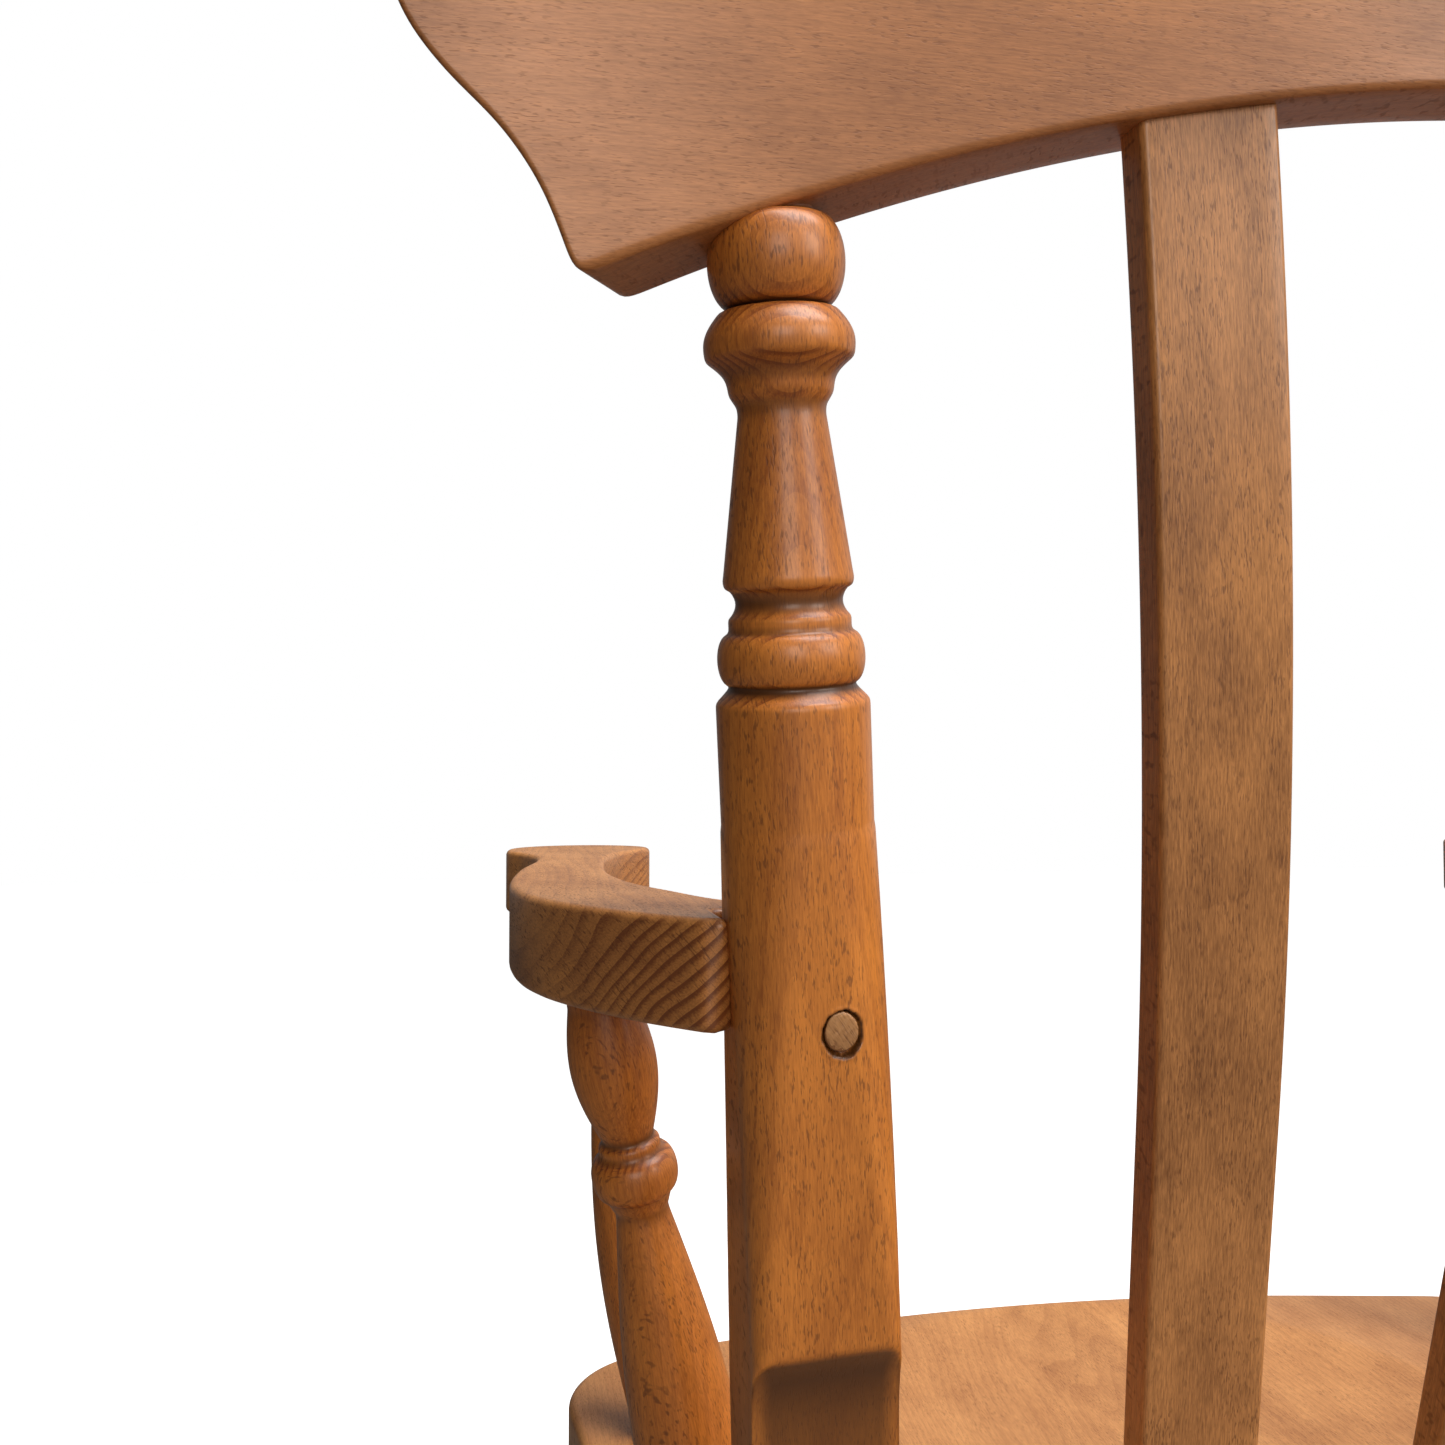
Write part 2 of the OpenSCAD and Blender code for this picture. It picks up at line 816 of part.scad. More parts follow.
// Cross peg that locks a leg's foot in its rocker
module peg_at(foot, head, gap = 0) {
    at = foot - unit(head - foot) * peg_drop;
    translate([rocker_x - rocker_w / 2 - gap, at.y, at.z])
        rotate([0, 90, 0])
            cylinder(d = peg_d + 2 * gap, h = rocker_w + 2 * gap);
}

module rocker_peg_pair() {
    peg_at(leg_front_foot, leg_front_head);
    peg_at(leg_rear_foot, leg_rear_head);
}

// ---------------------------------------------------------------- the chair

seat();
reclined() crest_rail();
reclined() back_post();  // back_post_left
reclined() right_side() back_post();  // back_post_right
reclined() lath(lath_x, lath_lean, lath_side_head);  // lath_left
reclined() lath(0, 0, lath_centre_head);  // lath_centre
reclined() right_side() lath(lath_x, lath_lean, lath_side_head);  // lath_right
reclined() arm();  // arm_left
reclined() right_side() arm();  // arm_right
reclined() arm_post(front_arm_foot, front_arm_head);  // front_arm_post_left
reclined() right_side() arm_post(front_arm_foot, front_arm_head);  // front_arm_post_right
reclined() arm_post(rear_arm_foot, rear_arm_head);  // rear_arm_post_left
reclined() right_side() arm_post(rear_arm_foot, rear_arm_head);  // rear_arm_post_right
leg(leg_front_foot, leg_front_head);  // leg_front_left
right_side() leg(leg_front_foot, leg_front_head);  // leg_front_right
leg(leg_rear_foot, leg_rear_head);  // leg_rear_left
right_side() leg(leg_rear_foot, leg_rear_head);  // leg_rear_right
side_stretcher();  // side_stretcher_left
right_side() side_stretcher();  // side_stretcher_right
cross_stretcher();
rocker();  // rocker_left
right_side() rocker();  // rocker_right
union() {  // rocker_pegs
    color(beech_dark) rocker_peg_pair();
    color(beech_dark) right_side() rocker_peg_pair();
}
union() {  // arm_screws
    reclined() arm_screw();
    reclined() right_side() arm_screw();
}
reclined() arm_plug();  // arm_plug_left
reclined() right_side() arm_plug();  // arm_plug_right
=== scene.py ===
import math

import bmesh
import bpy
import numpy as np
from mathutils import Matrix, Vector


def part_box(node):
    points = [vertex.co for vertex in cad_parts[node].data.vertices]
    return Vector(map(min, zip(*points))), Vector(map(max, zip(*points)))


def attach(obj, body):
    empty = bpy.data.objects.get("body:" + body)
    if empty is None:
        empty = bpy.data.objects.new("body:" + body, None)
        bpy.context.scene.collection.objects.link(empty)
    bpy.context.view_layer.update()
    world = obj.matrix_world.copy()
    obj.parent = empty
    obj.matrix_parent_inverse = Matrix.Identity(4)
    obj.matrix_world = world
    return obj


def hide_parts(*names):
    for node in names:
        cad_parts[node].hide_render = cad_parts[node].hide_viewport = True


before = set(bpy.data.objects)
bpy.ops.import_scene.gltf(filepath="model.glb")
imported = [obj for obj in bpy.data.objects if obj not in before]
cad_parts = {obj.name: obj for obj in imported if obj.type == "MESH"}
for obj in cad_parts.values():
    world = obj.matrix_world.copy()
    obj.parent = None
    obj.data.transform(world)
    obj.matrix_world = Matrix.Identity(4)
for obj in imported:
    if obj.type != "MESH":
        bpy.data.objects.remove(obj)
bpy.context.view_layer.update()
print("frame loaded with", len(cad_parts), "nodes")

# All shapes are worked out in mm. The seat, back and arms are drawn in the seat's own frame:
# its origin is on the seat's top, midway between the back posts, and it leans back.
seatFrame = {"behind": 108.0, "height": 415.0, "lean": 3.0}


def turnPoints(points, axis, degrees):
    # the two coordinates across the axis turn by the angle, right-handed, and the third stays
    first, second = ((1, 2), (2, 0), (0, 1))[axis]
    c, s = math.cos(math.radians(degrees)), math.sin(math.radians(degrees))
    out = np.array(points, float)
    out[..., first] = c * points[..., first] - s * points[..., second]
    out[..., second] = s * points[..., first] + c * points[..., second]
    return out


def seatToRoom(points):
    # the lean about the x axis, then the step from the floor's middle to the back posts
    return turnPoints(points, 0, -seatFrame["lean"]) + (0, seatFrame["behind"], seatFrame["height"])


def evenLine(line, step):
    # a line through the same points, cut into equal lengths of about one step
    line = np.asarray(line, float)
    gone = np.concatenate([[0], np.cumsum(np.linalg.norm(np.diff(line, axis=0), axis=1))])
    places = np.linspace(0, gone[-1], max(2, int(round(gone[-1] / step)) + 1))
    return np.stack([np.interp(places, gone, line[:, k]) for k in range(line.shape[1])], -1)


def splineLine(corners, steps=12):
    # cubic from each corner to the next, its slope at a corner that of the chord past it
    p = np.asarray(corners, float)
    a, b, c, d = np.vstack([p[:1], p[:-2]]), p[:-1], p[1:], np.vstack([p[2:], p[-1:]])
    t = (np.arange(steps) / steps)[None, :, None]
    a, b, c, d = (q[:, None] for q in (a, b, c, d))
    curve = 0.5 * (2 * b + (c - a) * t + (2 * a - 5 * b + 4 * c - d) * t ** 2
                   + (3 * b - a - 3 * c + d) * t ** 3)
    return np.vstack([curve.reshape(-1, p.shape[1]), p[-1:]])


def easedLine(line, step, passes=1):
    # even steps, then each inner point moves half way to the mean of its two neighbours
    line = evenLine(line, step)
    for _ in range(passes):
        line[1:-1] = line[1:-1] / 2 + (line[:-2] + line[2:]) / 4
    return line


def gridNormals(points):
    # cross product of the differences along the two ways of a grid that closes round its columns
    along = np.gradient(points, axis=0)
    around = np.roll(points, -1, axis=1) - np.roll(points, 1, axis=1)
    normal = np.cross(around, along)
    length = np.linalg.norm(normal, axis=-1, keepdims=True)
    return normal / np.maximum(length, 1e-9)


def boardShape(points, grainWay, board, wearAndShade, normals=None):
    # endGrain is how squarely the surface cuts the fibres: the normal's share along the grain
    # the fourth argument means worn lighter above zero, and painted shade below zero, in grooves, hollows
    # and holes
    way = np.asarray(grainWay, float)
    endGrain = np.abs(((gridNormals(points) if normals is None else normals) * way).sum(-1))
    return {"points": points, "board": board, "wearAndShade": wearAndShade, "endGrain": endGrain}


def addPiece(name, shape, material, standsFor, mirror=False, reclined=True):
    points = seatToRoom(shape["points"]) if reclined else np.array(shape["points"])
    if mirror:
        points[..., 0] *= -1
    rows, columns = points.shape[:2]
    here = np.arange(rows * columns).reshape(rows, columns)
    beside = np.roll(here, -1, axis=1)
    quads = np.stack([here[:-1], beside[:-1], beside[1:], here[1:]], -1).reshape(-1, 4)
    mesh = bpy.data.meshes.new(name)
    mesh.from_pydata((points.reshape(-1, 3) / 1000).tolist(), [], quads.tolist())
    boardPoint = mesh.attributes.new("boardPoint", "FLOAT_VECTOR", "POINT")
    boardPoint.data.foreach_set("vector", shape["board"].astype(np.float32).ravel())
    for key in ("wearAndShade", "endGrain"):
        values = mesh.attributes.new(key, "FLOAT", "POINT")
        values.data.foreach_set("value", shape[key].astype(np.float32).ravel())
    work = bmesh.new()
    work.from_mesh(mesh)
    bmesh.ops.remove_doubles(work, verts=work.verts, dist=1e-6)  # closes poles and spines
    bmesh.ops.recalc_face_normals(work, faces=work.faces)
    work.to_mesh(mesh)
    work.free()
    mesh.polygons.foreach_set("use_smooth", np.ones(len(mesh.polygons), bool))
    mesh.materials.append(material)
    piece = bpy.data.objects.new(name, mesh)
    bpy.context.scene.collection.objects.link(piece)
    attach(piece, "root")
    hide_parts(standsFor)
    low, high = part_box(standsFor)
    offLow = np.abs(points.min((0, 1)) / 1000 - low).max()
    offHigh = np.abs(points.max((0, 1)) / 1000 - high).max()
    off = round(max(offLow, offHigh) * 1000, 1)
    print(name, len(mesh.polygons), "faces, box within", off, "mm of the CAD's")


# Shapes of sawn boards

plate = {"rimRows": 6, "wallRows": 6}


def pairedSides(stretches, step):
    # each stretch is a line on one side and its partner on the other, cut into as many steps
    sides = [[], []]
    for pair in stretches:
        lengths = [np.linalg.norm(np.diff(np.asarray(s, float), axis=0), axis=1).sum() for s in pair]
        count = max(3, int(round(max(lengths) / step)))
        for side, line, length in zip(sides, pair, lengths):
            side.append(evenLine(line, max(1e-6, length / count))[:-1])
    return [np.vstack(side + [np.asarray(stretches[-1][k][-1:], float)]) for k, side in enumerate(sides)]


def plateShape(stretches, thickness, cut):
    # A closed outline with a spine down its middle. Rows run from the spine across one face to the
    # rim, up a quarter round, the wall and a quarter round, and across the other face to the spine.
    sideA, sideB = pairedSides(stretches, cut["step"])
    last = len(sideA) - 1
    outline = np.vstack([sideA, sideB[-2:0:-1]])
    for _ in range(cut["easing"]):
        outline = outline / 2 + (np.roll(outline, 1, 0) + np.roll(outline, -1, 0)) / 4
    partner = np.minimum(np.arange(len(outline)), len(outline) - np.arange(len(outline)))
    partner = np.clip(partner, cut["ends"][0], last - cut["ends"][1])
    spine = (outline[partner] + outline[-partner]) / 2
    way = np.roll(outline, -1, 0) - np.roll(outline, 1, 0)
    way /= np.linalg.norm(way, axis=1, keepdims=True)
    after = np.roll(outline, -1, 0)
    area = (outline[:, 0] * after[:, 1] - outline[:, 1] * after[:, 0]).sum()
    outward = np.stack([way[:, 1], -way[:, 0]], -1) * np.sign(area)
    face = np.linspace(1, 0, cut["faceRows"])[:-1]
    bend = np.radians(np.linspace(-90, 0, plate["rimRows"]))
    low, high = cut["rims"]
    wall = np.linspace(0, 1, plate["wallRows"])[1:-1]
    half = thickness / 2
    share = np.concatenate([face, 0 * bend, 0 * wall, 0 * bend, face[::-1]])
    inset = np.concatenate([0 * face + low, low * (1 - np.cos(bend)), 0 * wall,
                            high * (1 - np.cos(bend[::-1])), 0 * face + high])
    height = np.concatenate([0 * face - half, low * (1 + np.sin(bend)) - half,
                             wall * (thickness - low - high) + low - half,
                             half - high * (1 + np.sin(bend[::-1])), 0 * face + half])
    wearAndShade = np.concatenate([0 * face, np.sin(-2 * bend), 0 * wall, np.sin(-2 * bend[::-1]), 0 * face])
    edge = outline[None] - outward[None] * inset[:, None, None]
    flat = edge + (spine[None] - edge) * share[:, None, None]
    oneHigh = flat.shape[:2] + (1,)
    points = np.concatenate([flat, np.broadcast_to(height[:, None, None], oneHigh)], -1)
    # normals: straight up or down on the faces, outward on the wall, turning between on the rims
    tilt = np.concatenate([0 * face - math.pi / 2, bend, 0 * wall, -bend[::-1], 0 * face + math.pi / 2])
    sideways = outward[None] * np.cos(tilt)[:, None, None]
    normals = np.concatenate([sideways, np.broadcast_to(np.sin(tilt)[:, None, None], oneHigh)], -1)
    return points, np.broadcast_to(wearAndShade[:, None], points.shape[:2]), normals


# Shapes of turned pieces


def sweepLine(z0, z1, r0, r1, swell=0.0, steps=24):
    # an even taper with half a sine wave of swell, or of hollow where the swell is negative
    t = np.linspace(0, 1, steps)
    return np.stack([r0 + (r1 - r0) * t + swell * np.sin(math.pi * t), z0 + (z1 - z0) * t], -1)


def beadLine(z0, z1, radius, out, steps=20):
    # half an ellipse standing out from the radius
    t = np.linspace(0, math.pi, steps)
    return np.stack([radius + out * np.sin(t), (z0 + z1) / 2 - (z1 - z0) / 2 * np.cos(t)], -1)


turning = {"reach": 9.0, "fullDepth": 1.3}


def grooveDepth(line):
    # how far a profile stands out from its own mean over a few mm, from -1 in a groove to 1 on a bead
    spacing = np.linalg.norm(np.diff(line, axis=0), axis=1).mean()
    reach = max(3, int(round(turning["reach"] / spacing)) | 1)
    padded = np.pad(line[:, 0], reach // 2, mode="edge")
    mean = np.convolve(padded, np.ones(reach) / reach, mode="valid")
    return np.clip((line[:, 0] - mean) / turning["fullDepth"], -1, 1)


def turnedShape(line, foot, head, spin, board, around, step):
    # each point of the profile, a radius and a distance from the foot, carried round the axis
    line = easedLine(np.vstack(line), step)
    # below zero in a groove, which is darkened as painted shade; above zero on a bead, which is worn
    # lighter
    wearAndShade = grooveDepth(line)
    line = np.vstack([[0, line[0, 1]], line, [0, line[-1, 1]]])
    wearAndShade = np.concatenate([[0], wearAndShade, [0]])
    angle = np.arange(around) * 2 * math.pi / around
    foot, head = np.asarray(foot, float), np.asarray(head, float)
    along = (head - foot) / np.linalg.norm(head - foot)
    side = np.cross(along, (0.0, 1.0, 0.0))
    side /= np.linalg.norm(side)
    local = np.stack([line[:, :1] * np.cos(angle), line[:, :1] * np.sin(angle),
                      np.broadcast_to(line[:, 1:], (len(line), around))], -1)
    points = foot + local @ np.stack([side, np.cross(along, side), along])
    return boardShape(points, along, turnPoints(local, 2, spin) + board,
                      np.broadcast_to(wearAndShade[:, None], points.shape[:2]))


# Materials


def linearColour(code):
    # sRGB hex to linear: divided by 12.92 near black, else offset and raised to the power 2.4
    parts = [int(code[k:k + 2], 16) / 255 for k in (1, 3, 5)]
    return [p / 12.92 if p <= 0.04045 else ((p + 0.055) / 1.055) ** 2.4 for p in parts] + [1.0]


def addNode(tree, kind, settings, sockets):
    # one node, with its settings by name, and a value or another node for each socket named
    node = tree.nodes.new(kind)
    for key, value in settings.items():
        setattr(node, key, value)
    shown = [s for s in node.inputs if s.enabled]
    for key, value in sockets.items():
        socket = shown[key] if isinstance(key, int) else next(s for s in shown if s.name == key)
        if isinstance(value, bpy.types.Node):
            value = next(s for s in value.outputs if s.enabled)
        if isinstance(value, bpy.types.NodeSocket):
            tree.links.new(value, socket)
        else:
            socket.default_value = value
    return node


def stainedBeech(name, look):
    # Beech under a brown stain and a satin lacquer: soft cloudy colour, faint growth rings that
    # make flames on a curve, short dark ray flecks along the grain, darker where fibres end.
    # boardPoint is the place in the board in mm: across, through the thickness, along the grain.
    # The sizes of the patterns below, in mm, were chosen.
    material = bpy.data.materials.new(name)
    material.use_nodes = True
    tree = material.node_tree
    tree.nodes.clear()
    place = addNode(tree, "ShaderNodeAttribute", {"attribute_name": "boardPoint"}, {}).outputs["Vector"]
    wearAndShade = addNode(tree, "ShaderNodeAttribute", {"attribute_name": "wearAndShade"}, {}).outputs["Fac"]
    ends = addNode(tree, "ShaderNodeAttribute", {"attribute_name": "endGrain"}, {}).outputs["Fac"]

    def cloud(cell, detail=2.0, roughness=0.5, start=place):
        # noise whose cells measure so many mm across, through and along the board
        scaled = addNode(tree, "ShaderNodeMapping", {}, {"Vector": start, "Scale": [1 / c for c in cell]})
        return addNode(tree, "ShaderNodeTexNoise", {}, {
            "Vector": scaled, "Scale": 1.0, "Detail": detail, "Roughness": roughness})

    def remap(value, low, high, toLow=0.0, toHigh=1.0, kind="SMOOTHSTEP"):
        return addNode(tree, "ShaderNodeMapRange", {"interpolation_type": kind}, {
            "Value": value, "From Min": low, "From Max": high, "To Min": toLow, "To Max": toHigh})

    def sums(operation, *values):
        return addNode(tree, "ShaderNodeMath", {"operation": operation}, dict(enumerate(values)))

    def blend(share, under, over, kind="MIX"):
        return addNode(tree, "ShaderNodeMix", {"data_type": "RGBA", "blend_type": kind}, {
            "Factor": share, "A": under, "B": over})

    # growth rings: distance from a pith that wanders and tilts, in rings of ringGap mm
    wander = addNode(tree, "ShaderNodeVectorMath", {"operation": "MULTIPLY_ADD"}, {
        0: cloud((34, 34, 150), 1.0).outputs["Color"], 1: (look["wander"],) * 3, 2: place})
    tilted = addNode(tree, "ShaderNodeMapping", {}, {
        "Vector": wander, "Location": (0, look["pith"], 0),
        "Rotation": (math.radians(look["tilt"]), 0, 0)})
    across = addNode(tree, "ShaderNodeVectorMath", {"operation": "MULTIPLY"}, {0: tilted, 1: (1, 1, 0)})
    radius = addNode(tree, "ShaderNodeVectorMath", {"operation": "LENGTH"}, {0: across}).outputs["Value"]
    ring = remap(sums("FRACT", sums("DIVIDE", radius, look["ringGap"])), 0.35, 0.98)

    mottle = cloud((22, 22, 46), 3.0, 0.55)
    shade = cloud((70, 70, 160), 1.0)
    fibre = cloud((0.5, 0.5, 6.0), 2.0, 0.65)
    flecks = remap(cloud((0.5, 4.0, 2.8), 1.0, 0.6), 0.54, 0.70)
    patch = remap(cloud((9, 9, 24), 1.0), 0.35, 0.6, 0.35, 1.0)
    flecks = sums("MULTIPLY", flecks, patch)
    ends = remap(ends, 0.28, 0.8)

    # how dark the stain took, from 0 to 1
    depth = sums("MULTIPLY", ring, sums("MULTIPLY_ADD", ends, look["endRings"], look["rings"]))
    for pattern, amount in ((mottle, look["mottle"]), (shade, look["shade"]), (fibre, look["fibre"])):
        centred = sums("SUBTRACT", pattern, 0.5)
        depth = sums("ADD", depth, sums("MULTIPLY", centred, amount))
    depth = sums("ADD", depth, look["depth"])
    colour = blend(depth, linearColour(look["light"]), linearColour(look["dark"]))
    colour = blend(sums("MULTIPLY", flecks, look["flecks"]), colour, linearColour(look["fleckColour"]))
    colour = blend(sums("MULTIPLY", ends, look["endShare"]), colour,
                   blend(1.0, colour, linearColour(look["endTint"]), "MULTIPLY"))
    # painted shade: where the channel is below zero (grooves, the relief's hollow, round the drilled
    # hole, the plug's sides) the colour darkens toward the shade colour
    recessShade = addNode(tree, "ShaderNodeMath", {"operation": "MULTIPLY", "use_clamp": True}, {
        0: wearAndShade, 1: -look["recessShade"]})
    colour = blend(recessShade, colour, linearColour(look["recessShadeColour"]))
    rubbed = remap(wearAndShade, 0.15, 1.0, 0.0, look["rubbed"], "LINEAR")
    colour = blend(rubbed, colour, linearColour(look["light"]))

    gloss = sums("ADD", sums("MULTIPLY", sums("SUBTRACT", mottle, 0.5), 0.22), look["roughness"])
    gloss = sums("ADD", gloss, sums("MULTIPLY", flecks, 0.12))
    relief = sums("SUBTRACT", sums("MULTIPLY", fibre, 0.5), flecks)
    relief = sums("SUBTRACT", relief, sums("MULTIPLY", sums("MULTIPLY", ends, ring), 1.2))
    bump = addNode(tree, "ShaderNodeBump", {}, {
        "Height": relief, "Strength": 0.6, "Distance": look["relief"] / 1000})
    shader = addNode(tree, "ShaderNodeBsdfPrincipled", {}, {
        "Base Color": colour, "Roughness": gloss, "Normal": bump, "IOR": 1.5,
        "Coat Weight": look["coat"], "Coat Roughness": 0.22, "Coat IOR": 1.5})
    addNode(tree, "ShaderNodeOutputMaterial", {}, {"Surface": shader})
    return material


beechLook = {
    "light": "#DC8736", "dark": "#8F4A18", "fleckColour": "#5E3212",
    "recessShadeColour": "#56300F", "endTint": "#F2E2D2",
    "ringGap": 2.8, "pith": 85.0, "tilt": 1.6, "wander": 16.0,
    "rings": 0.16, "endRings": 0.5, "mottle": 1.1, "shade": 0.7, "fibre": 1.1, "depth": 0.36,
    "flecks": 0.65, "endShare": 0.4, "recessShade": 1.3, "rubbed": 0.25,
    "roughness": 0.42, "coat": 0.25, "relief": 0.05,
}
turnedBeech = stainedBeech("Turned beech, stained and satin lacquered", beechLook)
bentBeech = stainedBeech("Bent beech post, stained and satin lacquered", {**beechLook, "flecks": 0.6})
lathBeech = stainedBeech("Bowed beech lath, stained and satin lacquered", {
    **beechLook, "light": "#CC8B50", "dark": "#6C3E18", "flecks": 0.6, "rings": 0.1, "fibre": 1.6})
crestBeech = stainedBeech("Sawn beech crest board, stained and satin lacquered", {
    **beechLook, "light": "#C27F4A", "dark": "#7E4A24", "flecks": 0.4, "rings": 0.1, "tilt": 0.6})
armBeech = stainedBeech("Sawn beech arm, stained and satin lacquered", {
    **beechLook, "light": "#D8924E", "dark": "#7E4620", "endRings": 0.7, "ringGap": 3.4})
seatBeech = stainedBeech("Scooped beech seat, stained and satin lacquered", {
    **beechLook, "light": "#D89656", "dark": "#985A28", "flecks": 0.4})
plugBeech = stainedBeech("Pared beech plug, stained", {
    **beechLook, "light": "#C8925E", "dark": "#7E4E28", "ringGap": 1.6, "rings": 0.5,
    "roughness": 0.4, "relief": 0.12})
print("materials made")

# Back posts: one bend, then a turned top

post = {
    "x": 214.0, "lean": 4.0, "rakeLow": 17.5, "rakeTop": 8.0, "turnZ": 290.0,
    "half": 20.75, "spare": 0.25, "taper": 0.6, "tenonRadius": 14.0, "tenon": 26.0, "neckEnd": 181.0,
    "corner": 3.0, "cornerGrowth": 18.0, "growFrom": 120.0, "growOver": 175.0, "growPower": 1.35,
    "reliefTop": 154.0, "reliefDepth": 6.5, "reliefRadius": 43.0, "reliefEdge": 0.5,
    "stain": 0.3, "topStainAndShade": 0.6, "stainAndShadeFade": 40.0, "sharpWear": 0.6, "drillShadow": 0.95,
    "around": 150, "step": 1.35, "profileStep": 0.75,
}
lowRake, topRake = math.radians(post["rakeLow"]), math.radians(post["rakeTop"])
bendRadius = post["turnZ"] / (math.sin(lowRake) - math.sin(topRake))
bendLength = bendRadius * (lowRake - topRake)
turnY = bendRadius * (math.cos(topRake) - math.cos(lowRake))

# the drilled oval: reach and step place finer rows round it, rise is how much higher the post's axis is
# there, sideways is its place on the section, and the shares are parts of its radius
plug = {"x": 225.4, "z": 236.6, "across": 5.3, "tall": 6.3, "deep": 2.6, "lip": 0.3,
        "reach": 9.0, "step": 0.5, "rise": 3.2, "sideways": -4.9, "crowding": 0.275,
        "raggedShare": 0.05, "rimShare": 0.1, "lipAt": 1.09, "lipShare": 0.07, "shadowAt": 0.97,
        "shadowShare": 0.09}
plugRake = math.asin(math.sin(lowRake) - (plug["z"] + plug["rise"]) / bendRadius)


def postPath(s):
    # place (y, z) and rake at a distance s along the axis: straight, one arc, straight again
    rake = lowRake - np.clip(s, 0, bendLength) / bendRadius
    below, above = np.minimum(s, 0), np.maximum(s - bendLength, 0)
    y = bendRadius * (np.cos(rake) - math.cos(lowRake)) + (below + above) * np.sin(rake)
    z = bendRadius * (math.sin(lowRake) - np.sin(rake)) + (below + above) * np.cos(rake)
    return y, z, rake


def raggedEdge(angle, seed):
    # a few sine waves round the edge, for fibres torn by the drill
    return (np.sin(3 * angle + seed) + 0.7 * np.sin(7 * angle + 2.1 * seed)
            + 0.6 * np.sin(13 * angle + 3.3 * seed) + 0.4 * np.sin(23 * angle + 0.7 * seed)) / 2.2


